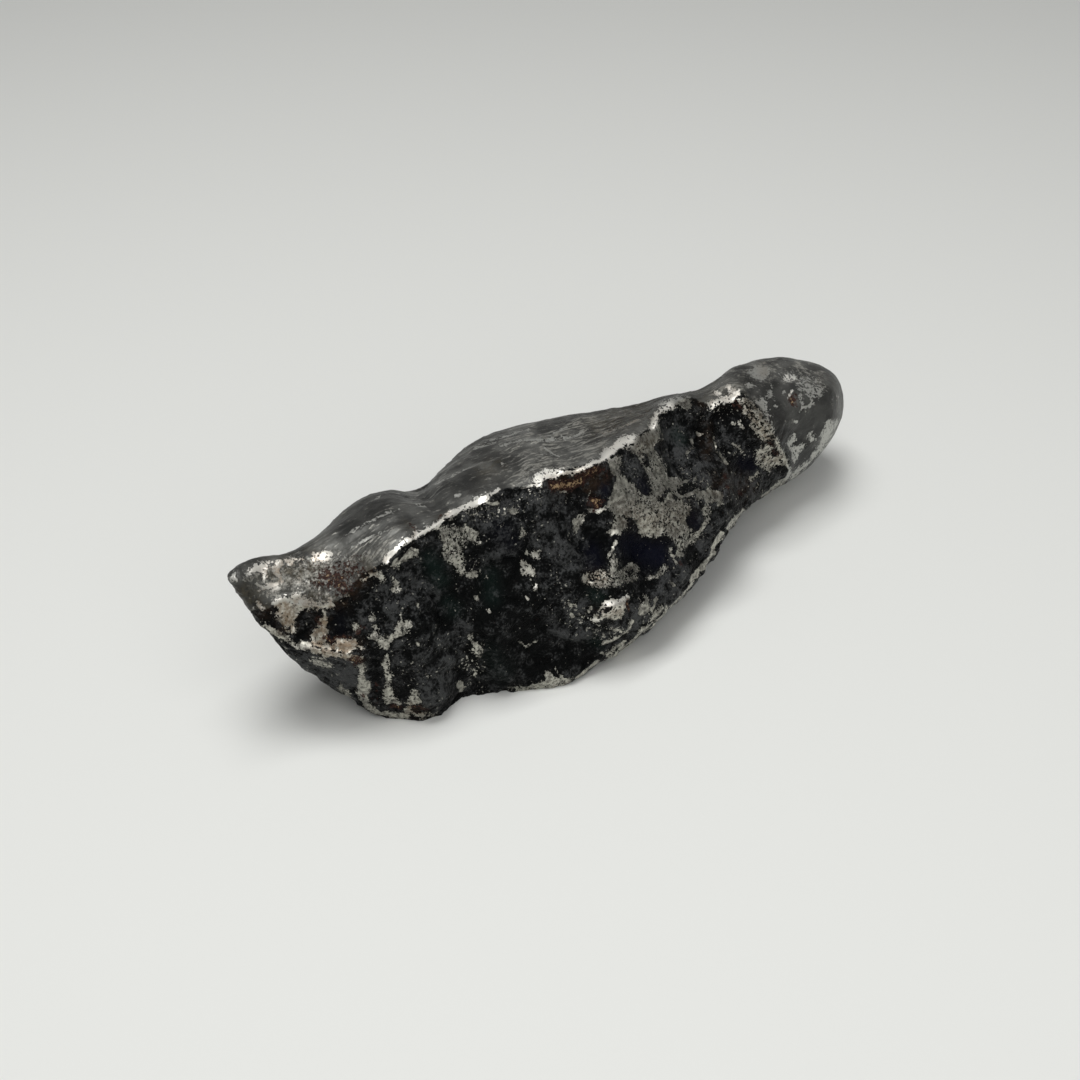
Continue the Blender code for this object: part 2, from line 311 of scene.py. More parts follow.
# Bare metal: patches where the crust has flaked or worn off, as outlines in the photograph's pixels.
BARE_PATCHES = {
    "tip spot": [(230, 573), (236, 573), (237, 579), (234, 582), (231, 579)],
    "beak top": [
        (245, 572), (250, 567), (257, 564), (265, 563), (272, 561), (279, 560), (284, 562), (283, 568),
        (279, 572), (282, 577), (284, 581), (281, 584), (277, 582), (279, 577), (274, 572), (271, 568),
        (266, 569), (262, 572), (256, 572), (250, 575), (246, 575)],
    "beak hook": [
        (262, 570), (266, 569), (267, 574), (264, 579), (266, 582), (272, 582), (278, 583), (280, 588),
        (277, 592), (273, 591), (272, 588), (270, 593), (266, 593), (262, 590), (257, 587), (255, 584),
        (260, 584), (264, 584), (262, 579), (261, 574)],
    "beak back strip": [(283, 562), (290, 558), (300, 557), (305, 556), (303, 561), (296, 562), (288, 566)],
    "bright spot left": [(309, 556), (313, 553), (318, 556), (318, 561), (314, 564), (309, 561)],
    "bright spot right": [(318, 556), (320, 551), (326, 549), (332, 552), (333, 558), (329, 562), (321, 563)],
    "small spot upper": [(296, 580), (300, 580), (301, 583), (297, 584)],
    "small spot lower": [(296, 585), (301, 585), (301, 589), (297, 590)],
    "brow": [
        (273, 603), (276, 599), (280, 597), (284, 595), (289, 597), (294, 594), (300, 593), (304, 598),
        (303, 604), (300, 610), (297, 613), (296, 620), (295, 630), (290, 634), (286, 632), (281, 624),
        (276, 619), (275, 613), (279, 608), (275, 607)],
    "under brow": [
        (298, 598), (306, 599), (314, 602), (322, 602), (332, 602), (334, 607), (327, 612), (318, 610),
        (308, 608), (300, 612)],
    "beak flecks": [(256, 602), (259, 603), (264, 609), (262, 611), (257, 606)],
    "chine": [
        (262, 622), (270, 627), (276, 630), (282, 634), (288, 637), (290, 641), (297, 645), (299, 640),
        (305, 642), (312, 643), (318, 648), (330, 651), (345, 654), (361, 655), (361, 660), (345, 659),
        (330, 657), (320, 655), (312, 651), (303, 650), (292, 646), (282, 641), (272, 634)],
    "chine below": [
        (308, 658), (315, 659), (322, 663), (330, 664), (334, 668), (326, 669), (318, 668), (310, 662)],
    "between blacks": [
        (313, 632), (318, 624), (323, 616), (320, 608), (323, 608), (326, 613), (328, 622), (330, 628),
        (328, 636), (333, 641), (337, 635), (342, 638), (350, 640), (358, 638), (356, 650), (345, 654),
        (335, 650), (322, 649), (312, 646), (311, 638)],
    "beside black": [(352, 624), (357, 622), (360, 626), (357, 632), (353, 630)],
    "red edge": [
        (362, 580), (368, 575), (375, 571), (381, 572), (385, 578), (382, 582), (377, 577), (370, 579)],
    "left rim flake": [(338, 687), (341, 684), (345, 689), (350, 694), (353, 700), (347, 698), (341, 692)],
    "tee": [
        (367, 637), (372, 634), (375, 630), (377, 635), (383, 636), (390, 635), (396, 628), (399, 620),
        (401, 612), (403, 614), (402, 626), (403, 636), (397, 638), (392, 640), (391, 646), (386, 649),
        (381, 648), (377, 641), (372, 638)],
    "loop": [(403, 624), (408, 620), (412, 622), (412, 628), (408, 630), (406, 634), (403, 634), (403, 629)],
    "tee flecks": [(369, 617), (374, 614), (377, 617), (375, 620), (371, 621)],
    "flake above tee": [(391, 577), (393, 577), (397, 582), (398, 587), (393, 591), (391, 588), (393, 583)],
    "first stripe": [
        (358, 663), (362, 661), (366, 664), (364, 670), (365, 677), (370, 683), (371, 690), (368, 695),
        (369, 702), (377, 709), (382, 713), (378, 713), (368, 708), (360, 702), (357, 695), (357, 685),
        (359, 675), (359, 668)],
    "second stripe": [
        (383, 660), (387, 656), (390, 661), (390, 668), (392, 675), (389, 684), (391, 690), (396, 697),
        (401, 702), (398, 706), (392, 705), (386, 703), (383, 697), (383, 688), (385, 680), (383, 672),
        (382, 665)],
    "foot": [
        (382, 710), (386, 712), (395, 714), (402, 713), (407, 709), (406, 704), (409, 700), (411, 694),
        (413, 690), (416, 693), (419, 697), (421, 702), (417, 705), (413, 706), (410, 711), (410, 719),
        (400, 721), (390, 719), (384, 715)],
    "foot right": [(425, 716), (432, 713), (438, 712), (436, 716), (430, 718)],
    "under crest": [
        (392, 566), (394, 562), (400, 560), (406, 556), (412, 553), (416, 550), (419, 549), (419, 556),
        (414, 558), (408, 561), (402, 565), (398, 569), (394, 568)],
    "pitted patch": [
        (441, 532), (444, 527), (450, 526), (455, 527), (462, 527), (469, 526), (473, 530), (478, 534),
        (479, 540), (476, 544), (470, 540), (465, 544), (463, 548), (463, 555), (463, 562), (465, 568),
        (466, 573), (463, 577), (460, 572), (457, 567), (452, 564), (447, 565), (446, 558), (441, 556),
        (444, 551), (443, 545), (441, 540)],
    "patch tail": [(466, 574), (472, 571), (478, 571), (478, 577), (470, 577)],
    "crest flake": [(508, 508), (513, 507), (518, 508), (518, 513), (512, 515), (509, 514)],
    "upright flake": [(520, 539), (522, 529), (524, 527), (526, 532), (525, 537), (521, 540)],
    "crescent": [
        (525, 549), (529, 552), (534, 552), (540, 548), (540, 555), (538, 559), (531, 558), (526, 553)],
    "middle flake": [
        (520, 563), (523, 560), (527, 564), (531, 567), (535, 570), (536, 577), (529, 576), (521, 574)],
    "comma": [(534, 587), (536, 582), (538, 584), (537, 589), (535, 589)],
    "ragged flake": [
        (468, 634), (472, 634), (473, 641), (478, 645), (483, 646), (482, 650), (479, 653), (480, 657),
        (477, 658), (475, 653), (472, 650), (472, 643), (469, 638)],
    "low flake": [(456, 683), (461, 680), (463, 683), (466, 687), (464, 692), (460, 691), (457, 686)],
    "belly rim": [
        (508, 688), (520, 687), (535, 686), (545, 680), (545, 673), (549, 671), (553, 676), (560, 680),
        (572, 678), (570, 684), (555, 690), (540, 692), (520, 692)],
    "crest arm": [
        (607, 462), (615, 458), (622, 455), (622, 462), (620, 470), (619, 476), (613, 475), (612, 468)],
    "centre": [
        (617, 477), (613, 493), (610, 497), (611, 502), (608, 508), (612, 512), (618, 515), (624, 515),
        (629, 518), (633, 520), (637, 525), (639, 530), (642, 536), (650, 538), (656, 537), (664, 534),
        (668, 536), (672, 538), (676, 542), (678, 548), (677, 556), (680, 558), (684, 552), (688, 547),
        (693, 543), (690, 538), (692, 533), (690, 526), (686, 520), (688, 516), (692, 512), (690, 506),
        (683, 502), (676, 500), (673, 496), (676, 490), (680, 486), (682, 480), (676, 477), (672, 480),
        (668, 478), (665, 473), (663, 466), (662, 460), (658, 455), (655, 447), (659, 440), (660, 433),
        (656, 428), (650, 432), (643, 440), (634, 444), (626, 447), (630, 470)],
    "crest saddle": [
        (630, 441), (640, 437), (650, 430), (656, 423), (661, 431), (655, 440), (645, 446), (634, 449)],
    "lower network": [
        (616, 517), (622, 514), (626, 518), (628, 523), (624, 530), (620, 536), (614, 534), (606, 533),
        (611, 529), (613, 524)],
    "hollow edge": [(573, 520), (578, 514), (584, 513), (583, 520), (580, 528), (577, 533), (573, 528)],
    "lip patch": [
        (583, 574), (588, 572), (592, 574), (597, 571), (601, 568), (604, 573), (607, 570), (612, 565),
        (618, 568), (622, 571), (620, 577), (622, 584), (616, 587), (608, 588), (602, 587), (596, 588),
        (590, 586), (585, 583), (582, 578)],
    "above lip patch": [(609, 560), (614, 557), (618, 561), (618, 568), (612, 567)],
    "ring": [(621, 575), (624, 568), (631, 564), (639, 567), (637, 573), (638, 578), (630, 582), (624, 582)],
    "streak": [
        (645, 580), (650, 576), (656, 573), (660, 568), (664, 564), (668, 566), (666, 570), (660, 575),
        (654, 579), (649, 581)],
    "bright lump": [
        (591, 620), (597, 612), (600, 606), (603, 601), (608, 600), (614, 598), (620, 599), (627, 595),
        (630, 596), (625, 602), (624, 608), (623, 614), (621, 618), (614, 620), (608, 619), (604, 616),
        (599, 621), (594, 624)],
    "knob": [(640, 602), (645, 595), (649, 599), (648, 607), (645, 612), (641, 616), (637, 614), (637, 606)],
    "finger": [(656, 404), (658, 403), (666, 400), (668, 408)],
    "crest shelf": [(680, 403), (684, 397), (689, 396), (692, 400), (692, 408), (688, 411), (684, 406)],
    "head ridge": [
        (738, 397), (748, 400), (753, 404), (757, 408), (762, 414), (768, 420), (772, 428), (776, 437),
        (779, 445), (784, 451), (788, 458), (783, 465), (775, 467), (768, 471), (762, 468), (757, 464),
        (755, 457), (758, 450), (765, 447), (763, 440), (757, 434), (752, 428), (749, 420), (744, 414),
        (741, 408)],
    "ridge finger": [(755, 402), (762, 398), (766, 401), (768, 408), (770, 416), (765, 415), (760, 409)],
    "hollow flake": [(738, 420), (741, 421), (743, 428), (739, 428)],
    "hollow flake low": [(719, 453), (723, 456), (728, 462), (726, 466), (722, 461)],
    "leaf flake": [(750, 477), (754, 475), (757, 471), (759, 474), (754, 479), (750, 481)],
    "right network": [
        (698, 494), (708, 489), (716, 489), (722, 495), (723, 504), (719, 506), (714, 500), (710, 503),
        (711, 512), (709, 519), (706, 524), (703, 530), (698, 537), (692, 541), (692, 535), (699, 530),
        (702, 524), (705, 517), (703, 510), (706, 502), (703, 497), (698, 499)],
    "head rim": [
        (828, 421), (833, 419), (839, 420), (835, 430), (829, 441), (821, 452), (813, 461), (805, 469),
        (798, 475), (792, 479), (789, 474), (796, 470), (802, 465), (806, 461), (811, 457), (815, 452),
        (819, 445), (821, 437), (823, 430)],
    "head patch": [
        (800, 378), (806, 377), (813, 375), (819, 379), (824, 384), (826, 390), (824, 396), (818, 398),
        (813, 399), (808, 394), (803, 392), (799, 388), (796, 382)],
    "head crown flake": [(780, 374), (786, 374), (789, 377), (793, 373), (797, 375), (796, 380), (784, 382)],
    "head flake": [(789, 440), (793, 432), (794, 438), (797, 441), (795, 444), (789, 446), (787, 443)],
    "head flake right": [(808, 438), (811, 431), (814, 438), (812, 443), (808, 440)],
    "head mottle": [
        (789, 448), (795, 447), (800, 446), (805, 444), (804, 448), (800, 452), (798, 458), (795, 462),
        (791, 460), (792, 453)],
    "head left flake": [(768, 392), (772, 387), (774, 394), (773, 399), (769, 398)],
    "neck flake": [(745, 384), (752, 382), (754, 385), (747, 388)],
    "neck mottle": [(748, 372), (756, 366), (764, 364), (770, 370), (768, 378), (760, 380), (753, 378)],
}

# Islands of crust inside the bare patches.
CRUST_ISLANDS = {
    "beak hole": [(269, 564), (272, 563), (273, 566), (270, 567)],
    "brow hole": [(285, 628), (290, 628), (290, 630), (285, 631)],
    "first black": [
        (296, 613), (304, 611), (312, 612), (318, 615), (319, 620), (316, 628), (312, 634), (310, 641),
        (301, 641), (297, 645), (290, 642), (287, 636), (290, 633), (295, 632), (295, 622)],
    "second black": [
        (326, 610), (335, 606), (345, 606), (350, 612), (351, 625), (349, 637), (342, 638), (334, 637),
        (329, 636), (328, 626), (327, 616)],
    "brown between": [(325, 636), (330, 637), (334, 642), (330, 645), (326, 642)],
    "loop hole": [(406, 624), (409, 623), (409, 627), (406, 629)],
    "foot hole": [(384, 703), (392, 703), (399, 706), (399, 710), (390, 711), (385, 708)],
    "long oval": [
        (622, 462), (625, 452), (630, 449), (636, 455), (640, 462), (645, 470), (650, 476), (653, 487),
        (653, 493), (648, 497), (643, 496), (637, 490), (632, 484), (626, 479), (621, 474), (620, 467)],
    "leaf": [(664, 461), (669, 459), (672, 463), (673, 472), (671, 478), (667, 474), (665, 467)],
    "dark flake": [(660, 497), (664, 492), (669, 488), (671, 491), (667, 497), (663, 502), (659, 502)],
    "lump hollow": [(603, 607), (609, 604), (612, 608), (606, 611)],
    "lump crack": [(597, 616), (600, 611), (602, 612), (599, 617)],
    "dots": [(641, 455), (647, 456), (649, 460), (649, 467), (643, 466)],
    "ring hole": [(627, 571), (633, 569), (632, 575), (627, 577)],
    "arm gap": [(690, 511), (697, 508), (702, 512), (701, 522), (698, 530), (692, 528), (688, 520)],
    "brown spot": [(772, 450), (777, 450), (779, 454), (775, 457), (771, 455)],
    "brown spot left": [(766, 441), (770, 439), (774, 442), (772, 446), (767, 445)],
    "head pit": [(790, 395), (796, 391), (801, 397), (800, 405), (793, 407), (789, 402)],
    "crease": [
        (668, 553), (671, 556), (674, 566), (678, 576), (681, 585), (677, 583), (672, 572), (668, 562)],
}

# Thin worn edges and specks of bare metal: half width in pixels, then the line.
BARE_LINES = {
    "crest left": (3.8, [(386, 561), (391, 554), (396, 549), (403, 544), (408, 539)]),
    "crest second": (3.6, [(416, 536), (424, 532), (433, 528), (440, 524), (444, 520)]),
    "crest third": (3.8, [(449, 514), (458, 511), (467, 506), (476, 502), (484, 499)]),
    "crest third end": (1.5, [(484, 499), (490, 495), (499, 490)]),
    "crest third lower": (1.6, [(484, 502), (490, 504), (499, 503)]),
    "crest middle edge": (1.6, [(523, 487), (529, 485), (541, 485)]),
    "crest middle": (5.0, [(537, 480), (545, 475), (553, 474), (559, 472)]),
    "crest after middle": (3.0, [
        (559, 474), (568, 473), (575, 472), (582, 469), (590, 465), (597, 461), (606, 458)]),
    "crest fourth": (5.5, [(607, 455), (612, 450), (618, 445), (624, 441), (632, 440)]),
    "crest fifth": (4.6, [(655, 424), (657, 416), (662, 412), (668, 408), (674, 403), (679, 401)]),
    "crest neck": (4.4, [(713, 405), (718, 400), (724, 399), (730, 400), (736, 395)]),
    "crest neck spots": (1.8, [(716, 392), (720, 393)]),
    "crest neck top": (1.8, [(727, 388), (731, 391)]),
    "chine line": (1.6, [(266, 624), (282, 638), (300, 646), (322, 651), (345, 655), (361, 657)]),
    "first stripe rim": (1.5, [(358, 697), (366, 707), (376, 712), (384, 715)]),
    "foot edge": (1.2, [(410, 713), (416, 717), (423, 717)]),
    "stripe spot": (1.6, [(375, 626), (377, 628)]),
    "white dot": (1.6, [(361, 647), (362, 649)]),
    "beak thin line": (0.9, [(374, 583), (376, 590), (377, 600)]),
    "belly thin line": (1.0, [(520, 642), (526, 647), (532, 645), (537, 641)]),
    "rim thin line": (1.1, [(555, 667), (558, 673), (563, 679)]),
    "speck one": (1.5, [(488, 610), (490, 612)]),
    "speck two": (1.4, [(526, 597), (528, 599)]),
    "speck three": (1.3, [(476, 597), (478, 600)]),
    "speck four": (1.5, [(568, 603), (571, 606)]),
    "speck five": (1.4, [(571, 614), (573, 617)]),
    "speck six": (1.3, [(417, 605), (419, 609)]),
    "speck seven": (1.4, [(417, 642), (419, 646)]),
    "speck eight": (1.2, [(426, 675), (428, 677)]),
    "lump dot": (1.6, [(590, 607), (591, 608)]),
    "lump dot lower": (1.4, [(588, 611), (589, 613)]),
    "flake chain": (1.5, [(617, 540), (614, 546), (611, 552), (608, 557)]),
    "fold inner": (1.7, [(602, 642), (610, 641), (618, 637), (624, 632), (629, 626), (631, 621)]),
    "fold above": (1.3, [(610, 629), (617, 630), (623, 631)]),
    "fold upper": (1.6, [(650, 611), (653, 605), (655, 598)]),
    "fold lump": (2.6, [(652, 618), (656, 613), (659, 607)]),
    "lip rim": (1.7, [(664, 606), (664, 612), (660, 617), (653, 623), (645, 628), (637, 635), (630, 642)]),
    "lip rim low": (2.2, [(630, 642), (622, 649), (614, 655), (606, 660)]),
    "lip second rim": (1.2, [(660, 623), (653, 629), (645, 634)]),
    "lip second rim low": (1.3, [(625, 642), (616, 648), (606, 655), (601, 653)]),
    "belly rim right": (1.8, [(598, 662), (590, 668), (584, 673), (577, 679)]),
    "lip back rim": (1.1, [(671, 607), (677, 601), (684, 594), (689, 588), (693, 582)]),
    "right rim low": (2.4, [(692, 580), (697, 574), (703, 567), (709, 558), (713, 552)]),
    "right rim middle": (2.2, [(714, 547), (718, 540), (722, 534)]),
    "right rim": (2.0, [(728, 528), (733, 522), (739, 516), (744, 511)]),
    "right rim upper": (1.8, [(763, 497), (768, 492), (776, 487), (784, 481), (790, 475)]),
    "right rim tip": (1.5, [(786, 464), (790, 468), (790, 475)]),
    "dot by crease": (1.7, [(672, 583), (674, 585)]),
    "grey arm": (1.2, [(671, 548), (673, 556), (677, 564)]),
    "hollow specks": (1.4, [(686, 455), (689, 451), (693, 447)]),
    "hollow speck": (1.9, [(692, 440), (693, 442)]),
    "hollow speck right": (1.4, [(700, 433), (702, 434)]),
    "band edge": (1.0, [(713, 438), (714, 445), (716, 453)]),
    "hollow dots": (1.2, [(733, 444), (737, 446), (741, 450)]),
    "hollow dot": (1.2, [(732, 422), (734, 424)]),
    "net arm": (1.6, [(673, 478), (680, 482), (688, 480), (696, 478)]),
    "net arm low": (1.6, [(675, 492), (682, 497), (690, 494), (699, 490)]),
    "pit rim left": (1.1, [(789, 401), (790, 395), (793, 390)]),
    "pit rim right": (1.1, [(801, 395), (802, 400), (803, 404)]),
    "pit loop": (1.2, [(805, 393), (812, 397), (813, 402), (809, 406), (803, 408), (800, 412)]),
    "rust shelf low": (1.2, [(560, 492), (566, 491)]),
    "pink rim": (1.8, [(589, 510), (594, 511), (599, 512), (605, 508), (611, 505)]),
    "top streak one": (0.9, [(345, 537), (358, 531), (372, 524), (385, 517), (400, 513)]),
    "top streak two": (0.8, [(436, 484), (455, 476), (470, 470), (483, 463)]),
    "top streak three": (0.9, [(474, 452), (484, 448), (500, 444)]),
    "top streak four": (0.9, [(500, 449), (520, 444), (545, 441), (568, 437), (585, 431)]),
    "top streak five": (0.8, [(548, 436), (556, 433), (566, 428)]),
    "top streak six": (0.8, [(430, 480), (445, 465), (462, 450), (482, 438)]),
    "top streak seven": (0.8, [(486, 444), (506, 438), (530, 430)]),
    "top streak eight": (0.9, [(352, 548), (374, 537), (396, 528)]),
    "top streak nine": (0.8, [(600, 432), (622, 424), (644, 414)]),
    "top specks one": (1.2, [(455, 495), (461, 494)]),
    "top specks two": (1.2, [(502, 466), (505, 464)]),
    "top specks three": (1.0, [(545, 447), (552, 451), (558, 454)]),
    "top specks four": (1.1, [(417, 505), (424, 503)]),
    "top specks five": (1.0, [(376, 502), (380, 499)]),
    "head speck one": (1.1, [(783, 394), (784, 391)]),
    "head speck two": (0.9, [(775, 406), (776, 407)]),
    "head speck three": (1.0, [(795, 421), (796, 422)]),
}

FAR_MM = 1.5
bare = np.full(len(place), -FAR_MM)
for outline in BARE_PATCHES.values():
    lay_patch(bare, outline)
for half_width, line in BARE_LINES.values():
    lay_line(bare, half_width, line)
for outline in CRUST_ISLANDS.values():
    lay_patch(bare, outline, sign=-1)

# Soft washes over the crust and the metal: half width in pixels, strength, then the line.
# Polished metal, whose near-white colour is partly a painted highlight.
POLISH_AND_HIGHLIGHT = {
    "beak top": (5, 1.0, [(250, 570), (262, 566), (274, 564)]),
    "beak hook": (4, 1.0, [(263, 573), (265, 581), (276, 586)]),
    "tip": (3, 0.3, [(233, 577), (235, 578)]),
    "bright spots": (5, 1.0, [(313, 558), (325, 556)]),
    "small spots": (3, 0.9, [(298, 582), (299, 587)]),
    "brow": (3, 0.9, [(275, 601), (283, 596), (292, 596), (299, 593)]),
    "crest left": (5, 1.0, [(386, 561), (396, 549), (408, 539)]),
    "crest second": (5, 1.0, [(416, 536), (430, 529), (444, 520)]),
    "crest third": (5, 1.0, [(449, 514), (467, 506), (484, 500)]),
    "crest third end": (3, 0.8, [(484, 500), (499, 491)]),
    "crest middle": (6, 1.0, [(535, 481), (548, 475), (560, 473)]),
    "crest after middle": (4, 1.0, [(560, 474), (575, 472), (590, 465), (606, 458)]),
    "crest fourth": (6, 1.0, [(608, 456), (618, 445), (632, 440)]),
    "crest fifth": (5, 1.0, [(655, 425), (660, 413), (670, 407)]),
    "crest neck": (6, 1.0, [(713, 405), (724, 399), (738, 395)]),
    "neck top": (4, 0.8, [(717, 392), (730, 389)]),
    "lump": (3, 1.0, [(606, 603), (614, 602), (622, 599), (628, 595)]),
    "lump face": (4, 0.4, [(602, 611), (612, 608), (621, 605)]),
    "lump left": (2, 0.9, [(594, 619), (601, 619)]),
    "pit rim": (2, 1.0, [(789, 400), (793, 390)]),
    "white dot": (2, 0.9, [(361, 648), (362, 648)]),
    "comma": (2, 0.8, [(535, 587), (536, 584)]),
    "crown": (3, 0.7, [(786, 377), (796, 379)]),
}
TAN = {
    "beak top": (6, 0.6, [(256, 577), (262, 576)]),
    "under hook": (5, 0.7, [(258, 590), (266, 591)]),
    "brow": (9, 1.0, [(284, 608), (288, 618), (286, 626)]),
    "brow right": (8, 0.7, [(296, 601), (305, 602), (315, 606)]),
    "between blacks": (7, 1.0, [(324, 622), (318, 636), (318, 645)]),
    "under second black": (8, 1.0, [(335, 645), (345, 647), (356, 645)]),
    "chine": (5, 0.7, [(320, 651), (345, 656), (360, 657)]),
    "beak to crest": (10, 0.6, [(352, 567), (366, 560), (380, 556)]),
    "beak corner": (8, 0.9, [(350, 592), (360, 580), (370, 570)]),
    "beak side": (10, 0.8, [(244, 592), (262, 608)]),
    "crest left": (6, 0.6, [(372, 556), (384, 562)]),
    "crest gap": (5, 0.6, [(405, 524), (413, 534)]),
    "crest gap right": (5, 0.5, [(438, 516), (448, 512)]),
    "centre": (16, 0.28, [(630, 515), (655, 520), (680, 515)]),
    "crest arm": (8, 0.35, [(640, 448), (652, 440)]),
    "rust hollow": (9, 1.0, [(556, 484), (578, 478), (596, 474)]),
    "rust hollow right": (7, 0.8, [(588, 488), (604, 478)]),
    "beak red": (14, 0.5, [(322, 572), (340, 580), (356, 576)]),
    "beak face": (16, 0.9, [(276, 574), (300, 570), (316, 562)]),
    "beak low": (9, 0.8, [(308, 594), (328, 600), (342, 602)]),
    "lip patch": (7, 0.7, [(592, 577), (602, 578)]),
    "lump": (8, 0.5, [(603, 611), (617, 611)]),
    "crest fourth": (5, 0.4, [(600, 447), (612, 441)]),
    "top brown": (14, 0.8, [(600, 424), (620, 416), (640, 408)]),
    "top olive": (10, 0.6, [(484, 472), (496, 466)]),
    "neck": (12, 0.5, [(704, 398), (735, 392)]),
    "head ridge": (9, 0.5, [(745, 402), (758, 418), (768, 438)]),
    "ridge low": (8, 0.3, [(765, 458), (778, 458)]),
    "band": (5, 0.6, [(707, 425), (708, 455)]),
    "below hollow": (14, 0.55, [(722, 482), (742, 486)]),
    "crown": (5, 0.5, [(762, 362), (764, 372)]),
    "head": (8, 0.3, [(822, 378), (830, 384)]),
    "foot right": (6, 0.7, [(412, 711), (424, 711)]),
}
RUST = {
    "beak red": (13, 0.9, [(328, 576), (338, 582), (344, 586)]),
    "beak red middle": (11, 0.7, [(316, 582), (334, 570), (352, 568)]),
    "beak red right": (6, 0.75, [(350, 577), (362, 568)]),
    "black edge": (3, 0.9, [(318, 618), (320, 625)]),
    "between blacks": (4, 1.0, [(325, 637), (331, 642)]),
    "second black edge": (3, 0.8, [(334, 638), (350, 637)]),
    "chine end": (4, 1.0, [(351, 659), (359, 659)]),
    "stripe": (2.2, 1.0, [(362, 695), (364, 696)]),
    "foot": (3.5, 1.0, [(393, 706), (398, 708)]),
    "foot right": (3, 0.8, [(413, 707), (426, 710)]),
    "dark stripe": (5, 0.4, [(376, 685), (376, 700)]),
    "beak red left": (9, 0.5, [(316, 566), (326, 572)]),
    "beak red upper": (9, 0.5, [(340, 562), (356, 558)]),
    "beside black": (4, 0.8, [(357, 632), (362, 628)]),
    "rust hollow": (6, 1.2, [(552, 487), (566, 485), (580, 481)]),
    "rust hollow right": (4, 0.5, [(596, 466), (606, 470), (607, 480)]),
    "rust over centre": (5, 1.0, [(584, 476), (596, 470)]),
    "orange pit": (4.5, 1.2, [(593, 499), (599, 501), (597, 506)]),
    "pit brim": (3, 0.8, [(590, 497), (589, 505), (594, 511)]),
    "lump rust": (3, 1.0, [(626, 603), (627, 609)]),
    "lump rust top": (2, 0.8, [(625, 597), (627, 599)]),
    "head pit": (5, 1.0, [(793, 397), (795, 402)]),
    "head ridge top": (4, 0.7, [(735, 404), (740, 407)]),
    "ridge spot": (3, 0.9, [(774, 452), (777, 454)]),
    "ridge spot left": (2.5, 0.8, [(768, 442), (772, 445)]),
    "low dots one": (2.5, 0.8, [(725, 476), (727, 478)]),
    "low dots two": (2.5, 0.8, [(727, 486), (728, 488)]),
    "low dots three": (2.5, 0.7, [(739, 491), (741, 494)]),
    "crest gap": (3, 0.7, [(410, 524), (416, 530)]),
    "crest gap right": (3, 0.6, [(438, 515), (442, 513)]),
    "low network": (3, 0.5, [(680, 562), (684, 566)]),
    "belly rim": (2, 0.7, [(556, 683), (559, 685)]),
}
# Darkening washes: partly darker crust, partly painted shade, as the shadow under the lip, the shaded low
# side of the head and the darker rim of the top.
DARK_CRUST_AND_SHADE = {
    "first black": (9, 1.0, [(303, 622), (303, 634)]),
    "second black": (10, 1.0, [(338, 614), (340, 630)]),
    "beak side": (9, 1.2, [(242, 590), (254, 602), (266, 612)]),
    "hollow under crest": (16, 0.6, [(440, 560), (430, 590), (440, 610)]),
    "middle": (26, 1.0, [(500, 560), (500, 600), (505, 640)]),
    "belly": (26, 1.0, [(500, 630), (530, 650), (525, 670)]),
    "black hollow": (13, 1.0, [(592, 520), (594, 545), (596, 562)]),
    "blue hollow": (16, 1.0, [(632, 547), (650, 556), (648, 568)]),
    "beside pit": (7, 1.0, [(606, 484), (606, 492)]),
    "lip shadow": (7, 0.7, [(632, 592), (645, 590)]),
    "eye": (12, 0.5, [(676, 418), (688, 430)]),
    "eye line": (4, 1.0, [(700, 428), (701, 455)]),
    "second eye": (13, 0.85, [(728, 422), (742, 440)]),
    "second eye low": (10, 0.9, [(742, 462), (756, 467)]),
    "arm hole": (7, 0.8, [(694, 516), (697, 526)]),
    "low shade": (12, 0.5, [(570, 655), (600, 650)]),
    "crack": (3, 1.0, [(416, 591), (430, 594), (437, 602), (441, 615)]),
    "dark stripe": (7, 0.9, [(374, 668), (375, 690), (380, 702)]),
    "between": (8, 0.9, [(360, 598), (368, 600)]),
    "network gap": (5, 0.8, [(662, 540), (666, 541)]),
    "head": (22, 1.0, [(768, 400), (778, 424), (800, 424), (824, 410)]),
    "head low": (16, 1.9, [(784, 438), (802, 454), (794, 466)]),
    "head right": (10, 0.8, [(832, 396), (828, 412)]),
    "neck": (9, 0.8, [(746, 376), (752, 392)]),
    "saddle": (13, 0.7, [(424, 498), (450, 492), (480, 482)]),
    "top right": (10, 0.6, [(500, 478), (516, 466), (520, 452)]),
    "top left": (14, 0.8, [(340, 528), (366, 512), (396, 500)]),
    "top rim": (7, 0.6, [(420, 484), (446, 462), (470, 442), (500, 430)]),
    "top rim right": (6, 0.5, [(540, 424), (580, 414), (620, 402), (660, 392)]),
    "beak rim": (4, 0.8, [(240, 564), (256, 558), (276, 552), (300, 548)]),
}
BLUE = {
    "second black": (8, 0.3, [(340, 618), (342, 630)]),
    "blue hollow": (14, 1.0, [(630, 545), (652, 553), (662, 556)]),
    "black hollow": (9, 0.7, [(592, 550), (596, 564)]),
    "beside pit": (6, 0.9, [(604, 487), (606, 492)]),
    "under crest": (12, 0.4, [(500, 530), (510, 540)]),
    "second eye low": (9, 0.9, [(745, 463), (754, 466)]),
    "arm hole": (7, 0.7, [(694, 518), (697, 526)]),
    "long oval": (7, 0.6, [(641, 482), (647, 490)]),
    "beak side": (7, 0.4, [(245, 588), (256, 600)]),
}
TEAL = {
    "under crest left": (9, 0.9, [(430, 560), (442, 582)]),
    "left middle": (8, 0.7, [(448, 602), (454, 610)]),
    "middle": (9, 0.7, [(490, 575), (492, 598)]),
    "eye": (7, 0.8, [(676, 434), (680, 440)]),
    "lip left": (7, 0.9, [(594, 594), (600, 598)]),
    "lip low": (6, 0.6, [(594, 640), (602, 644)]),
    "belly": (12, 0.4, [(490, 655), (500, 670)]),
}
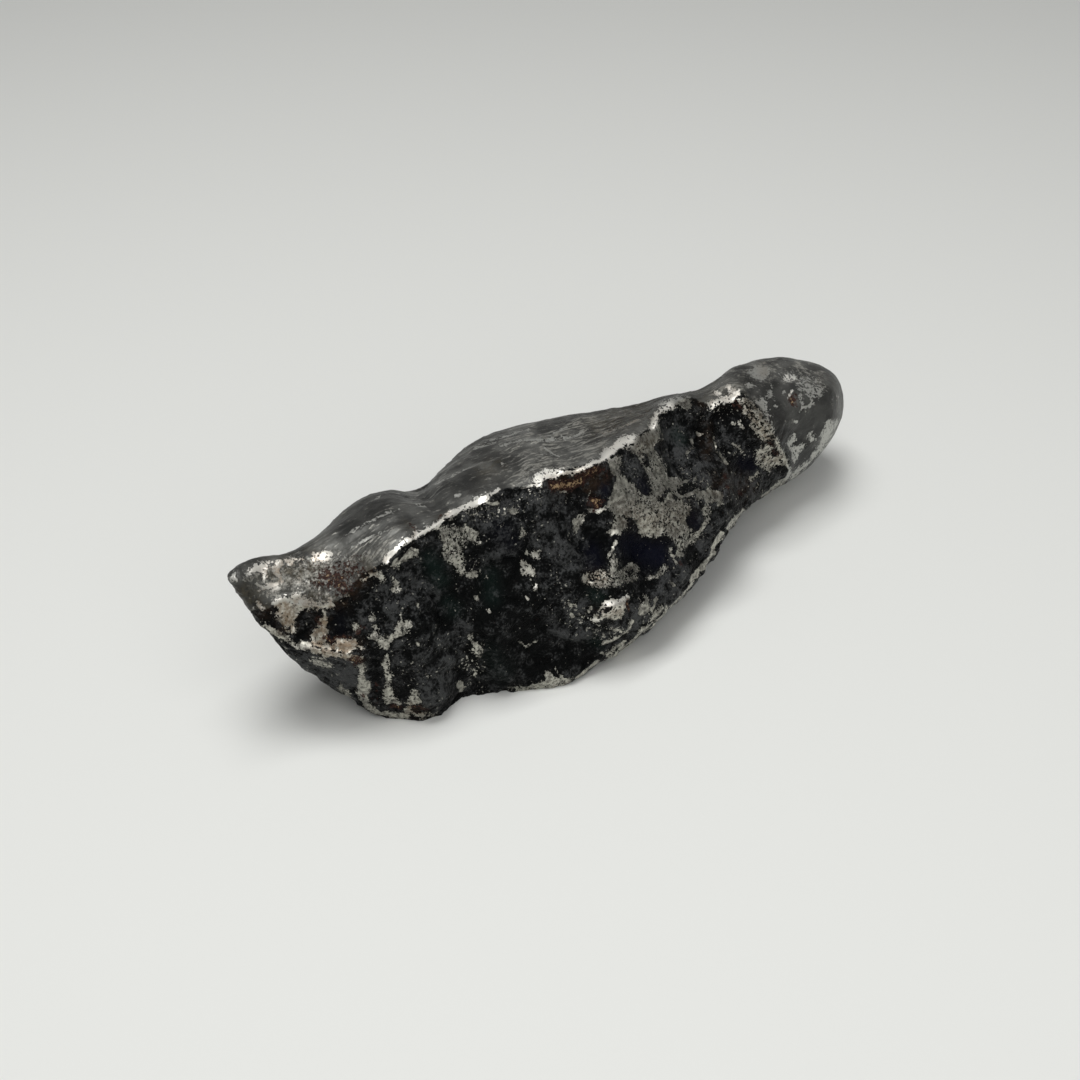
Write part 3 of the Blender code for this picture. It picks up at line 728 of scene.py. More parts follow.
PITTED = {
    "pitted patch": (16, 1.0, [(458, 536), (456, 556)]),
    "centre left": (14, 1.0, [(644, 455), (648, 466)]),
    "centre": (16, 0.7, [(640, 510), (668, 515), (684, 520)]),
    "lip patch": (10, 0.9, [(592, 578), (612, 576)]),
    "lump": (9, 1.0, [(604, 610), (616, 608)]),
    "ring": (8, 0.8, [(628, 574), (634, 574)]),
    "crest middle": (8, 1.3, [(536, 480), (548, 474), (562, 473)]),
    "crest fifth": (7, 1.3, [(657, 424), (664, 410)]),
    "bright spots": (7, 0.5, [(313, 558), (326, 555)]),
    "brow": (7, 0.5, [(300, 600), (318, 598)]),
    "crest neck": (8, 1.3, [(714, 405), (736, 400)]),
    "low network": (12, 1.0, [(680, 540), (688, 548)]),
    "stripes": (8, 0.5, [(387, 665), (388, 695)]),
    "middle flakes": (12, 0.8, [(524, 534), (532, 554), (528, 570)]),
    "head ridge": (9, 1.0, [(748, 408), (762, 426), (772, 444)]),
    "head patch": (14, 1.2, [(800, 372), (820, 386)]),
    "head right": (8, 1.0, [(834, 400), (836, 420)]),
    "ridge low": (9, 0.8, [(762, 456), (778, 460)]),
}
FLECKED = {
    "beak right": (12, 1.0, [(310, 578), (316, 592)]),
    "beak back": (9, 0.8, [(280, 572), (300, 560)]),
    "red area": (12, 0.6, [(340, 570), (362, 572)]),
    "beside tee": (8, 0.5, [(366, 615), (376, 622)]),
    "low left": (9, 0.9, [(468, 660), (474, 668)]),
    "under crest": (10, 0.9, [(450, 520), (480, 514), (505, 508)]),
    "patch right": (8, 0.8, [(474, 566), (478, 575)]),
    "crest middle": (10, 0.7, [(520, 500), (534, 494)]),
    "belly right": (12, 0.5, [(568, 604), (576, 618)]),
    "lip low": (10, 0.9, [(598, 630), (614, 632)]),
    "lip right": (9, 0.7, [(640, 620), (650, 614)]),
    "eye low": (12, 0.9, [(690, 480), (706, 478)]),
    "net right": (10, 0.9, [(686, 500), (698, 494)]),
    "second eye": (10, 0.7, [(736, 446), (742, 452)]),
    "neck": (10, 0.7, [(750, 378), (764, 374)]),
    "crest neck": (10, 0.8, [(716, 412), (730, 408)]),
    "head left": (14, 0.3, [(774, 404), (782, 420)]),
    "beak face": (16, 0.7, [(256, 572), (280, 574), (310, 570)]),
    "beak to crest": (12, 0.8, [(340, 560), (372, 560)]),
    "top brown": (16, 0.8, [(600, 424), (620, 416), (640, 408)]),
    "top over middle": (8, 0.8, [(526, 474), (540, 462), (552, 450)]),
    "top left": (8, 0.6, [(476, 492), (492, 484)]),
    "beak low": (10, 1.0, [(300, 596), (324, 600), (344, 598)]),
}
GREY = {
    "beak side": (9, 0.5, [(246, 590), (262, 606), (270, 616)]),
    "under chine": (16, 1.4, [(306, 664), (330, 674), (352, 674)]),
    "left rim": (9, 0.9, [(336, 684), (350, 700)]),
    "beside tee": (15, 0.9, [(384, 592), (392, 610), (388, 624)]),
    "above tee": (9, 0.7, [(368, 606), (366, 616)]),
    "below tee": (14, 0.8, [(404, 648), (424, 672), (430, 700)]),
    "above the furrow": (14, 0.8, [(404, 574), (424, 584), (436, 596)]),
    "furrow side": (9, 0.9, [(444, 640), (446, 664), (442, 690)]),
    "beside furrow": (10, 0.6, [(466, 612), (462, 640)]),
    "below crest left": (8, 0.9, [(410, 566), (432, 556), (440, 540)]),
    "below crest": (12, 0.9, [(470, 516), (500, 508), (530, 500), (560, 500)]),
    "right of patch": (12, 0.8, [(490, 532), (500, 550), (490, 566)]),
    "middle right": (18, 0.9, [(545, 530), (560, 550), (568, 566)]),
    "beside black hollow": (9, 0.9, [(572, 520), (576, 540)]),
    "round the arc": (8, 1.0, [(552, 628), (562, 635), (574, 636), (586, 630)]),
    "belly right": (12, 0.6, [(560, 600), (574, 616), (580, 604)]),
    "lip": (14, 0.9, [(612, 632), (630, 622), (650, 610), (660, 600)]),
    "right low": (10, 1.0, [(664, 580), (676, 592), (660, 592)]),
    "right low arm": (7, 0.9, [(676, 560), (686, 574)]),
    "right edge": (9, 0.7, [(700, 545), (712, 530), (724, 512)]),
    "eye": (15, 1.0, [(668, 436), (678, 450), (684, 462)]),
    "below eye": (14, 0.9, [(690, 468), (706, 462), (704, 484)]),
    "right below second eye": (15, 0.8, [(724, 482), (744, 486), (760, 478)]),
    "second eye middle": (11, 0.7, [(734, 434), (742, 448)]),
    "belly low": (16, 0.3, [(480, 650), (510, 672)]),
    "long oval": (8, 0.9, [(630, 466), (642, 484)]),
    "arm hole": (6, 0.8, [(694, 504), (700, 520)]),
    "centre": (12, 0.7, [(700, 500), (720, 512)]),
}
# These washes make the worn crust paler: partly real wear, partly painted sheen, as the broad sheen across
# the top.
PALE_WEAR_AND_SHEEN = {
    "beak top": (10, 0.4, [(250, 578), (275, 566), (300, 562), (330, 556)]),
    "beak face": (14, 1.3, [(276, 584), (300, 580), (318, 572)]),
    "beak to crest": (10, 0.6, [(345, 560), (366, 556), (384, 552)]),
    "brow side": (8, 0.6, [(305, 598), (330, 600)]),
    "under chine": (12, 0.6, [(310, 668), (340, 676)]),
    "above crest middle": (9, 0.9, [(516, 480), (530, 468), (548, 462)]),
    "above crest fourth": (9, 0.7, [(560, 462), (590, 452), (604, 442)]),
    "crest saddle": (7, 0.8, [(636, 436), (650, 430)]),
    "neck": (9, 0.7, [(712, 392), (730, 386), (742, 392)]),
    "crown": (12, 0.6, [(742, 378), (758, 370), (772, 372)]),
    "top sheen": (16, 0.5, [(520, 452), (560, 440), (600, 428)]),
    "top flakes": (7, 0.9, [(552, 436), (570, 426), (592, 418)]),
    "crown right": (9, 0.6, [(800, 370), (820, 376)]),
}

# Where the crust is worn thin and smooth by handling: the top, the beak's face and the head. Its paler colour
# on these upper faces is partly painted light from above.
WORN_OUTLINES = {
    "top": [
        (200, 480), (400, 380), (740, 330), (742, 394), (713, 404), (690, 396), (679, 400), (655, 422),
        (632, 440), (606, 457), (556, 472), (523, 486), (499, 490), (444, 519), (408, 538), (386, 560),
        (364, 572), (300, 560), (200, 580)],
    "beak": [
        (200, 560), (300, 550), (386, 540), (380, 564), (362, 572), (352, 584), (346, 597), (322, 606),
        (300, 606), (284, 602), (272, 606), (262, 610), (248, 610), (220, 592)],
    "head": [
        (742, 394), (757, 406), (770, 424), (780, 444), (790, 460), (786, 478), (800, 540), (900, 460),
        (900, 330), (720, 330)],
}


def wash(marks):
    """One soft field from a group of drawn washes."""
    field = np.zeros(len(place))
    for half_width, strength, line in marks.values():
        lay_soft(field, half_width, line, strength)
    return field


washes = {
    "polish_and_highlight": wash(POLISH_AND_HIGHLIGHT),
    "tan": wash(TAN),
    "rust": wash(RUST),
    "dark_crust_and_shade": wash(DARK_CRUST_AND_SHADE),
    "blue": wash(BLUE),
    "teal": wash(TEAL),
    "pitted": wash(PITTED),
    "flecked": wash(FLECKED),
    "grey": wash(GREY),
    "pale_wear_and_sheen": wash(PALE_WEAR_AND_SHEEN),
}


def smooth_step(low, high, value):
    """0 below low, 1 above high, and smooth between."""
    t = np.clip((value - low) / (high - low), 0, 1)
    return t * t * (3 - 2 * t)


NOISE_FALLOFF, NOISE_FINER = 0.8, 2.1
EVEN = (1, 1, 1)


def noise_at(size_mm, octaves, stretch, shift):
    """Smooth noise, about -1 to 1, whose lumps are size_mm across, longer along a stretched axis."""
    scaled = place / MM / size_mm / np.array(stretch) + shift
    return np.array([noise.fractal(Vector(p), NOISE_FALLOFF, NOISE_FINER, octaves) for p in scaled])


# The sides that the photograph doesn't show are worn in the same way: on what stands proud, in patches.
# A noise is its size in mm, its detail, how far it stretches along, across and up, and where it starts.
CURVE_ROUNDS, EVENING = 60, 0.5
PATCHY_NOISE, PATCHY_SHARE = (5.0, 4, (1.6, 1, 1), 11.0), 0.9
STREAKY_NOISE, STREAKY_SHARE = (2.2, 4, (2.6, 1, 1), 23.0), 0.35
PROUD_SHARE, BARE_FROM, BARE_MOST_MM = 2.2, 0.62, 0.6
PROUD_POLISH, POLISH_FROM, POLISH_MOST = 4, 0.4, 0.7
HOLLOW_SHADE, HOLLOW_SHADE_FROM = 5, 0.1

# Washes in patches: how strong, the size in mm, detail, where the noise starts, what is added, the most.
UNSEEN_WASHES = {
    "tan": (1.6, 6.0, 3, 41.0, -0.15, 0.8),
    "rust": (3.0, 3.4, 3, 57.0, -1.15, 1),
    "pitted": (1.5, 4.0, 2, 71.0, 0.3, 1),
    "flecked": (1.5, 5.5, 2, 83.0, 0.0, 1),
    "grey": (1.6, 4.5, 3, 97.0, 0.35, 1),
}

edges = np.zeros(len(stone.data.edges) * 2, int)
stone.data.edges.foreach_get("vertices", edges)
edges = edges.reshape(-1, 2)
neighbour_count = np.bincount(edges.ravel(), minlength=len(place))[:, None]
ends = np.concatenate([edges[:, 0], edges[:, 1]])
others = np.concatenate([edges[:, 1], edges[:, 0]])
evened = place.copy()
for _ in range(CURVE_ROUNDS):
    total = np.stack([np.bincount(ends, evened[others, axis]) for axis in range(3)], 1)
    evened = (1 - EVENING) * evened + EVENING * total / neighbour_count
proud_mm = ((place - evened) * outward).sum(1) / MM

patchy = noise_at(*PATCHY_NOISE)
streaky = noise_at(*STREAKY_NOISE)
unseen_bare = PROUD_SHARE * proud_mm + PATCHY_SHARE * patchy + STREAKY_SHARE * streaky - BARE_FROM
unseen_bare = np.clip(unseen_bare, -FAR_MM, BARE_MOST_MM)
hidden = ~seen
bare[hidden] = unseen_bare[hidden]
washes["polish_and_highlight"][hidden] = np.clip(PROUD_POLISH * proud_mm[hidden] - POLISH_FROM, 0, POLISH_MOST)
# Hollows on these sides take the darkening wash: partly darker crust, partly painted shade.
washes["dark_crust_and_shade"][hidden] = np.clip(-HOLLOW_SHADE * proud_mm[hidden] - HOLLOW_SHADE_FROM, 0, 1)
for name, (strength, size_mm, octaves, shift, added, most) in UNSEEN_WASHES.items():
    patches = strength * noise_at(size_mm, octaves, EVEN, shift)[hidden] + added
    washes[name][hidden] = np.clip(patches, 0, most)

# The polished places are ground flat by wear, facing halfway between the lamp and the camera: that is what
# makes them the bright places in the photograph.
LAMP_PLACE = Vector((-0.05, 0.0, 0.38))
GROUND_WIDER = 1.4
GROUND_STEP_PIXELS = 2
GROUND_ROUNDS = 6
GROUND_FULL_WEIGHT = 0.1

glint = np.array((towards_camera + LAMP_PLACE.normalized()).normalized())
ground = np.zeros(len(place))
for half_width, strength, line in POLISH_AND_HIGHLIGHT.values():
    found = near(line, SOFT_REACH * half_width)
    share = strength * np.exp(-(line_distance(pixels[found], line) / (GROUND_WIDER * half_width)) ** 2)
    anchor, weight = np.zeros((len(found), 3)), np.full((len(found), 1), TINY)
    for a, b in zip(line[:-1], line[1:]):
        for t in np.arange(0, 1, GROUND_STEP_PIXELS / math.dist(a, b)):
            gap = np.linalg.norm(pixels[found] - (np.array(a) * (1 - t) + np.array(b) * t), axis=1)
            pull = np.exp(-(gap / half_width) ** 2)[:, None]
            anchor += pull * place[found[np.argmin(gap)]]
            weight += pull
    full = np.minimum(weight[:, 0] / GROUND_FULL_WEIGHT, 1)
    lift = ((anchor / weight - place[found]) @ glint) * share * full
    place[found] += lift[:, None] * glint
    ground[found] = np.maximum(ground[found], share)
for _ in range(GROUND_ROUNDS):
    total = np.stack([np.bincount(ends, place[others, axis]) for axis in range(3)], 1)
    place = place + EVENING * ground[:, None] * (total / neighbour_count - place)

# Relief: the front is rough and lumpy, the top has long flow lines, the head is smoother.
LUMP_NOISE, LUMP_HEIGHT = (2.6, 2, EVEN, 3.0), 0.34
GRAIN_NOISE, GRAIN_HEIGHT = (0.85, 3, EVEN, 5.0), 0.20
FLOW_NOISE, FLOW_HEIGHT = (0.8, 3, (9, 1, 4), 7.0), 0.10
HEAD_START, HEAD_END = 22 * MM, 28 * MM
CRUST_THICKNESS = 0.07
CRUST_STEP = -0.1, 0.15
WORN_SMOOTHER, POLISH_SMOOTHER, BARE_SMOOTHER = 0.85, 0.8, 0.55
BARE_SMOOTH_STEP = -0.3, 0.1
WORN_FLOW, STREAKY_FLOW = 0.2, 0.8
WORN_GRAIN = 0.5
GRAIN_PAINTED_LIGHT, LUMP_PAINTED_LIGHT = 0.6, 0.4
WORN_UP_STEP, WORN_BACK_SHARE = (0.35, 0.8), 0.35
HEAD_WORN = 0.9
WORN_STEP_MM, STREAKY_STEP_MM = (-0.5, 0.5), (-0.5, 1.5)

# Folds, cracks and small knobs: half width in pixels, height in mm (below nought for a groove), the line.
FOLDS = {
    "crack": (2.2, -0.30, [(416, 591), (430, 594), (437, 602), (441, 615)]),
    "crease": (2.4, -0.40, [(668, 547), (669, 556), (672, 566), (676, 577), (680, 587)]),
    "orange pit": (5.5, -0.55, [(595, 500), (597, 506)]),
    "head pit": (5.5, -0.35, [(793, 396), (795, 402)]),
    "first stripe": (5.0, 0.22, [(361, 664), (361, 680), (364, 696)]),
    "second stripe": (4.5, 0.20, [(386, 658), (388, 676), (388, 694), (396, 702)]),
    "dark stripe": (4.5, -0.25, [(374, 664), (374, 684), (378, 702)]),
    "tee": (4.0, 0.16, [(370, 636), (384, 638), (397, 634), (402, 616)]),
    "chine": (3.0, 0.20, [(262, 622), (282, 637), (298, 645), (326, 652), (361, 657)]),
    "under chine": (2.2, -0.28, [(268, 636), (282, 647), (298, 655), (326, 662), (352, 664)]),
    "brow": (4.0, 0.20, [(275, 602), (284, 596), (298, 594)]),
    "arc": (4.5, 0.28, [(552, 628), (560, 634), (572, 636), (584, 631), (592, 626)]),
    "bright lump": (11, 0.50, [(604, 611), (616, 608)]),
    "knob": (6.5, 0.45, [(642, 611), (644, 603)]),
    "fold inner": (2.4, 0.30, [(602, 642), (610, 641), (618, 637), (624, 632), (629, 626), (631, 621)]),
    "fold upper": (2.2, 0.25, [(650, 611), (653, 605), (655, 598)]),
    "fold lump": (3.2, 0.30, [(652, 618), (656, 613), (659, 607)]),
    "lip rim": (2.4, 0.28, [(664, 606), (664, 612), (653, 623), (637, 635), (622, 649), (606, 660)]),
    "lip groove": (2.0, -0.30, [(658, 621), (648, 629), (636, 640), (620, 653)]),
    "lip inner groove": (2.4, -0.25, [(634, 618), (632, 628), (622, 638), (608, 646)]),
    "crest underline": (3.0, -0.18, [(392, 560), (410, 546), (440, 530), (470, 512), (500, 506)]),
    "eye line": (3.5, -0.35, [(699, 424), (701, 440), (702, 456)]),
    "band": (4.5, 0.20, [(708, 425), (709, 455)]),
    "ridge": (6.0, 0.22, [(742, 402), (754, 414), (766, 430), (774, 444)]),
    "belly arc": (5.0, -0.22, [(545, 580), (560, 585), (575, 592)]),
    "belly step": (4.0, 0.22, [(500, 612), (518, 606), (540, 606), (552, 622)]),
    "furrow edge": (5.0, 0.20, [(446, 600), (452, 630), (452, 660)]),
    "upper step": (5.0, 0.20, [(400, 588), (424, 600), (440, 620)]),
    "flow left": (3.5, 0.16, [(345, 540), (372, 525), (400, 513), (424, 506)]),
    "flow left low": (3.0, 0.12, [(352, 548), (374, 537), (396, 528)]),
    "flow one": (3.0, 0.12, [(430, 480), (445, 465), (462, 450), (482, 438)]),
    "flow two": (3.0, 0.16, [(430, 484), (455, 468), (475, 455), (500, 447), (540, 441), (590, 428)]),
    "flow three": (3.0, 0.14, [(425, 490), (450, 480), (475, 472), (495, 465)]),
    "flow groove": (4.0, -0.16, [(425, 486), (452, 474), (480, 462), (510, 454)]),
    "flow groove right": (4.0, -0.14, [(520, 450), (556, 446), (590, 438)]),
    "flow four": (2.6, 0.10, [(474, 452), (486, 444), (506, 438), (530, 430)]),
    "saddle edge": (4.0, 0.12, [(556, 434), (566, 428), (580, 420)]),
    "top hollow": (7.0, -0.25, [(430, 506), (445, 502), (460, 500)]),
    "top hollow right": (8.0, -0.25, [(500, 478), (516, 468)]),
    "left hump": (20.0, 0.35, [(352, 518), (390, 506)]),
    "left saddle": (12.0, -0.35, [(416, 492), (438, 506)]),
    "middle hump": (20.0, 0.30, [(472, 468), (520, 452)]),
    "dish": (14.0, -0.30, [(562, 450), (592, 444)]),
    "right saddle": (16.0, -0.30, [(612, 424), (644, 414)]),
    "neck dip": (9.0, -0.20, [(700, 386), (720, 378)]),
}

on_head = smooth_step(HEAD_START, HEAD_END, place[:, 0])
# Faces turned up take the paler worn crust: partly wear, partly painted light from above.
up_faces_wear_and_light = smooth_step(*WORN_UP_STEP, outward[:, 2] + WORN_BACK_SHARE * outward[:, 1])
worn = np.maximum(up_faces_wear_and_light, HEAD_WORN * on_head)
worn_depth = np.full(len(place), -FAR_MM)
streaky = worn * (1 - on_head)
for name, outline in WORN_OUTLINES.items():
    found = np.nonzero(seen)[0]
    depth = line_distance(pixels[found], outline, closed=True) * PIXEL_MM
    depth = np.where(is_inside(pixels[found], outline), depth, -depth)
    worn_depth[found] = np.maximum(worn_depth[found], depth)
    if name == "top":
        streaky[found] = smooth_step(*STREAKY_STEP_MM, depth) * (1 - on_head[found])
worn[seen] = smooth_step(*WORN_STEP_MM, worn_depth[seen])
washes["worn"] = worn
washes["streaky"] = streaky
lumps, grains, flow = (noise_at(*kind) for kind in (LUMP_NOISE, GRAIN_NOISE, FLOW_NOISE))
relief = (1 - WORN_SMOOTHER * worn) * (LUMP_HEIGHT * lumps + GRAIN_HEIGHT * grains)
relief += (WORN_FLOW * worn + STREAKY_FLOW * streaky) * FLOW_HEIGHT * flow
relief += (worn - streaky) * (1 - on_head) * WORN_GRAIN * GRAIN_HEIGHT * grains
relief *= 1 - POLISH_SMOOTHER * washes["polish_and_highlight"]
relief *= 1 - BARE_SMOOTHER * smooth_step(*BARE_SMOOTH_STEP, bare)
# Painted light from the relief: grains and lumps that stand up turn the crust greyer and the worn streaks
# paler, so crevices look darker.
washes["relief_painted_light"] = (1 - worn) * (GRAIN_PAINTED_LIGHT * grains + LUMP_PAINTED_LIGHT * lumps)
washes["relief_painted_light"] += streaky * flow + (worn - streaky) * grains
relief -= CRUST_THICKNESS * smooth_step(*CRUST_STEP, bare)
for half_width, height, line in FOLDS.values():
    found = near(line, SOFT_REACH * half_width)
    relief[found] += height * np.exp(-(line_distance(pixels[found], line) / half_width) ** 2)

place = place + outward * (relief * MM)[:, None]
place = np.clip(place, np.array(cad_low), np.array(cad_high))
stone.data.vertices.foreach_set("co", place.ravel())
stone.data.update()

for name, values in {"bare": bare, **washes}.items():
    attribute = stone.data.attributes.new(name, "FLOAT", "POINT")
    attribute.data.foreach_set("value", values.astype(np.float32))


def linear(colour):
    """A colour written as sRGB hex, such as "#33302d", as linear light with full opacity."""
    parts = [int(colour[i:i + 2], 16) / 255 for i in (1, 3, 5)]
    return tuple(c / 12.92 if c <= 0.04045 else ((c + 0.055) / 1.055) ** 2.4 for c in parts) + (1.0,)


# The material: fusion crust, which is dark iron oxide that froze from a melt, over nickel-iron, a grey
# metal, bright and smooth where it is handled and pitted elsewhere. Worn thin, the crust is satin grey.
CRUST_BLACK = "#040505"
CRUST_GREY = "#454646"
CRUST_BLUE = "#090b19"
CRUST_TEAL = "#14231f"
CRUST_BROWN = "#33261b"
WORN_POCK = "#1d1b17"
WORN_BROWN = "#4f493c"
WORN_PAINTED_SHADE = "#2e2e2d"
WORN_DARK = "#4a4a48"
WORN_MID = "#757571"
WORN_LIGHT = "#b6b4ab"
METAL = "#c4c2b7"
METAL_DULL = "#6a6862"
METAL_HANDLED = "#b6b6b0"
METAL_POLISH_HIGHLIGHT = "#f4f1e8"
METAL_TAN = "#8b7862"
RUST_DARK = "#1a0d0b"
RUST_MID = "#3f2a24"
RUST_BRIGHT = "#a08868"
RUST_ORANGE = "#58200f"
CRUST_SPECULAR = 0.06

# Patterns: size in mm, detail, roughness, how many times longer along the stone and up than across it.
PATTERNS = {
    "edge": (0.7, 5, 0.7, 1),
    "fine edge": (0.2, 3, 0.7, 1),
    "cloud": (3.0, 3, 0.55, 1),
    "smudge": (1.6, 3, 0.55, 1),
    "patch": (1.1, 3, 0.6, 1),
    "speckle": (0.26, 3, 0.7, 1),
    "fleck": (0.3, 3, 0.6, 1),
    "streak": (0.3, 4, 0.7, 3.5),
    "pock": (0.3, 4, 0.75, 1),
    "metal cloud": (0.5, 4, 0.7, 1),
    "clot": (0.34, 4, 0.7, 1),
    "rust tone": (0.22, 3, 0.6, 1),
    "bump": (0.32, 4, 0.65, 1),
    "fine bump": (0.12, 2, 0.5, 1),
}
PIT_MM = 0.33
DOT_MM = 0.7
WARP_SIZE_MM, WARP_MM = 0.45, 0.6
EDGE_RAGGED_MM = 1.4
WORN_RAGGED_MM = 0.5
FINE_RAGGED_MM = 0.9
NOISE_MIDDLE = 0.5

# How the marks and the patterns add up: what a sum starts at, then how much each of them counts.
SUMS = {
    "pits": (0, {"pitted": 0.45, "smudge": 1.2}),
    "scabs": (0, {"fleck": 1, "pitted": 0.09, "smudge": 0.3, "polish_and_highlight": -0.2}),
    "flecks": (0, {"fleck": 1, "flecked": 0.10, "smudge": 0.25, "dark_crust_and_shade": -0.05, "worn": -0.05}),
    "dots": (0, {"worn": -0.2, "dark_crust_and_shade": -0.12}),
    "greyness": (0, {"speckle": 0.9, "patch": 0.8, "grey": 0.17, "relief_painted_light": 0.18, "dark_crust_and_shade": -0.06}),
    "streaks": (0, {"relief_painted_light": 0.08, "dark_crust_and_shade": -0.05, "pale_wear_and_sheen": 0.14}),
    "worn": (0, {"worn": 1, "smudge": 0.5, "edge": 0.8}),
    "rust": (-1.5, {"clot": 3.0, "rust": 1}),
    "rust light": (0, {"speckle": 1, "rust": 0.35}),
    "rust orange": (0, {"rust": 1, "clot": 1.2}),
    "crust height": (0.03, {"bump": 0.40, "fine bump": 0.05}),
    "worn height": (0.15, {"streak": 0.10, "bump": 0.06}),
    "metal height": (0, {"edge": 0.16, "fine edge": 0.04}),
    "metal sheen": (1.0, {"worn": -0.4, "polish_and_highlight": -0.45}),
    "crust roughness": (0.25, {"edge": 0.3}),
    "metal roughness": (0.38, {"polish_and_highlight": -0.10}),
}

# The two values between which each look goes from none to full, smoothly.
STEPS = {
    "bare": (-0.02, 0.03),
    "pits by an edge": (0.3, 0.0),
    "pits": (-0.06, 0.05),
    "scabs": (0.76, 0.79),
    "flecks": (0.785, 0.815),
    "dot size": (0.76, 1.0),
    "dots": (-0.02, 0.03),
    "greyness": (0.83, 1.13),
    "cloud": (0.35, 0.65),
    "streaks": (0.55, 0.68),
    "pocks": (0.50, 0.40),
    "worn": (1.0, 1.2),
    "brown": (0.35, 0.65),
    "crust edge shadow": (-0.2, -0.04),
    "dull metal": (0.66, 0.36),
    "tan metal": (0.25, 0.6),
    "rust": (0.45, 0.8),
    "rust tone": (0.4, 0.6),
    "rust light": (0.86, 0.98),
    "rust orange": (1.75, 2.1),
}
PIT_CHANCE, PIT_RADIUS, EDGE_PITTING = (1.05, 1.80), 0.42, 0.25
DOT_RADIUS = 0.2

# How much of the colour below each look covers at most.
COVER = {
    "blue": 0.8,
    "teal": 0.6,
    "dark_crust_and_shade": 0.75,
    "streaks": 0.8,
    "pocks": 0.8,
    "brown": 0.8,
    "tan": 0.8,
    "rust": 0.95,
}
CRUST_EDGE_SHADOW_COVER, WORN_EDGE_SHADOW_COVER = 0.7, 0.25
POCK_DEPTH, PIT_DEPTH = 0.06, 0.12
BUMP_STRENGTH, POLISHED_BUMP_STRENGTH = 0.8, 0.25
METAL_SHEEN_LEAST, WORN_METALLIC, GREY_METALLIC = 0.5, 0.5, 0.4
RUST_ROUGHER = 0.1

crust = bpy.data.materials.new("fusion_crust_over_nickel_iron")
crust.use_nodes = True
shader = crust.node_tree.nodes["Principled BSDF"]


def node(kind, settings, *values, output=0):
    """Adds a node with its settings, sets or links its inputs in order, and gives one of its outputs."""
    added = crust.node_tree.nodes.new("ShaderNode" + kind)
    for name, value in settings.items():
        setattr(added, name, value)
    sockets = [socket for socket in added.inputs if socket.enabled]
    for socket, value in zip(sockets, values):
        if isinstance(value, bpy.types.NodeSocket):
            crust.node_tree.links.new(value, socket)
        elif value is not None:
            socket.default_value = value
    return [socket for socket in added.outputs if socket.enabled][output]


PLUS = {"operation": "ADD"}
MINUS = {"operation": "SUBTRACT"}
TIMES = {"operation": "MULTIPLY"}
TIMES_PLUS = {"operation": "MULTIPLY_ADD"}
LARGER = {"operation": "MAXIMUM"}
SMOOTH = {"interpolation_type": "SMOOTHSTEP"}
COLOURS = {"data_type": "RGBA"}
NUMBERS = {"data_type": "FLOAT"}

coordinates = node("TexCoord", {}, output=3)
marks = {name: node("Attribute", {"attribute_name": name}, output=2) for name in ["bare", *washes]}
pattern = {}
for name, (size_mm, detail, roughness, longer) in PATTERNS.items():
    scaled = node("Mapping", {}, coordinates, None, None, (1 / MM / longer, 1 / MM, 1 / MM / longer))
    pattern[name] = node("TexNoise", {}, scaled, 1 / size_mm, detail, roughness)
in_mm = node("Mapping", {}, coordinates, None, None, (1 / MM, 1 / MM, 1 / MM))
warp = node("TexNoise", {}, in_mm, 1 / WARP_SIZE_MM, 2, 0.5, output=1)
in_mm = node("VectorMath", TIMES_PLUS, warp, (WARP_MM, WARP_MM, WARP_MM), in_mm)

fields = {**marks, **pattern}
sums = {}
for name, (total, parts) in SUMS.items():
    for part, share in parts.items():
        total = node("Math", TIMES_PLUS, fields[part], share, total)
    sums[name] = total

# Where the metal is bare: the drawn field with ragged edges, less its pits, and flecks out in the crust.
edge = node("Math", MINUS, pattern["edge"], NOISE_MIDDLE)
fine_edge = node("Math", MINUS, pattern["fine edge"], NOISE_MIDDLE)
raggedness = node("Math", TIMES_PLUS, marks["worn"], WORN_RAGGED_MM, EDGE_RAGGED_MM)
ragged = node("Math", TIMES_PLUS, edge, raggedness, marks["bare"])
ragged = node("Math", TIMES_PLUS, fine_edge, FINE_RAGGED_MM, ragged)
bare_share = node("MapRange", SMOOTH, ragged, *STEPS["bare"])
by_an_edge = node("MapRange", SMOOTH, ragged, *STEPS["pits by an edge"])
pit_chance = node("SeparateColor", {}, node("TexVoronoi", {}, in_mm, 1 / PIT_MM, output=1))
pit_chance = node("Math", PLUS, pit_chance, sums["pits"])
pit_chance = node("Math", TIMES_PLUS, by_an_edge, EDGE_PITTING, pit_chance)
pit_size = node("MapRange", {}, pit_chance, *PIT_CHANCE, 0.0, PIT_RADIUS)
pit_depth = node("Math", MINUS, pit_size, node("TexVoronoi", {}, in_mm, 1 / PIT_MM))
pit_share = node("MapRange", SMOOTH, pit_depth, *STEPS["pits"])
pit_share = node("Math", LARGER, pit_share, node("MapRange", SMOOTH, sums["scabs"], *STEPS["scabs"]))
dot_chance = node("SeparateColor", {}, node("TexVoronoi", {}, in_mm, 1 / DOT_MM, output=1))
dot_chance = node("Math", PLUS, dot_chance, sums["dots"])
dot_size = node("MapRange", SMOOTH, dot_chance, *STEPS["dot size"], 0.0, DOT_RADIUS)
dot_depth = node("Math", MINUS, dot_size, node("TexVoronoi", {}, in_mm, 1 / DOT_MM))
dot_share = node("MapRange", SMOOTH, dot_depth, *STEPS["dots"])
fleck_share = node("Math", LARGER, node("MapRange", SMOOTH, sums["flecks"], *STEPS["flecks"]), dot_share)
unpitted = node("Math", MINUS, 1.0, pit_share)
metal_share = node("Math", LARGER, node("Math", TIMES, bare_share, unpitted), fleck_share)

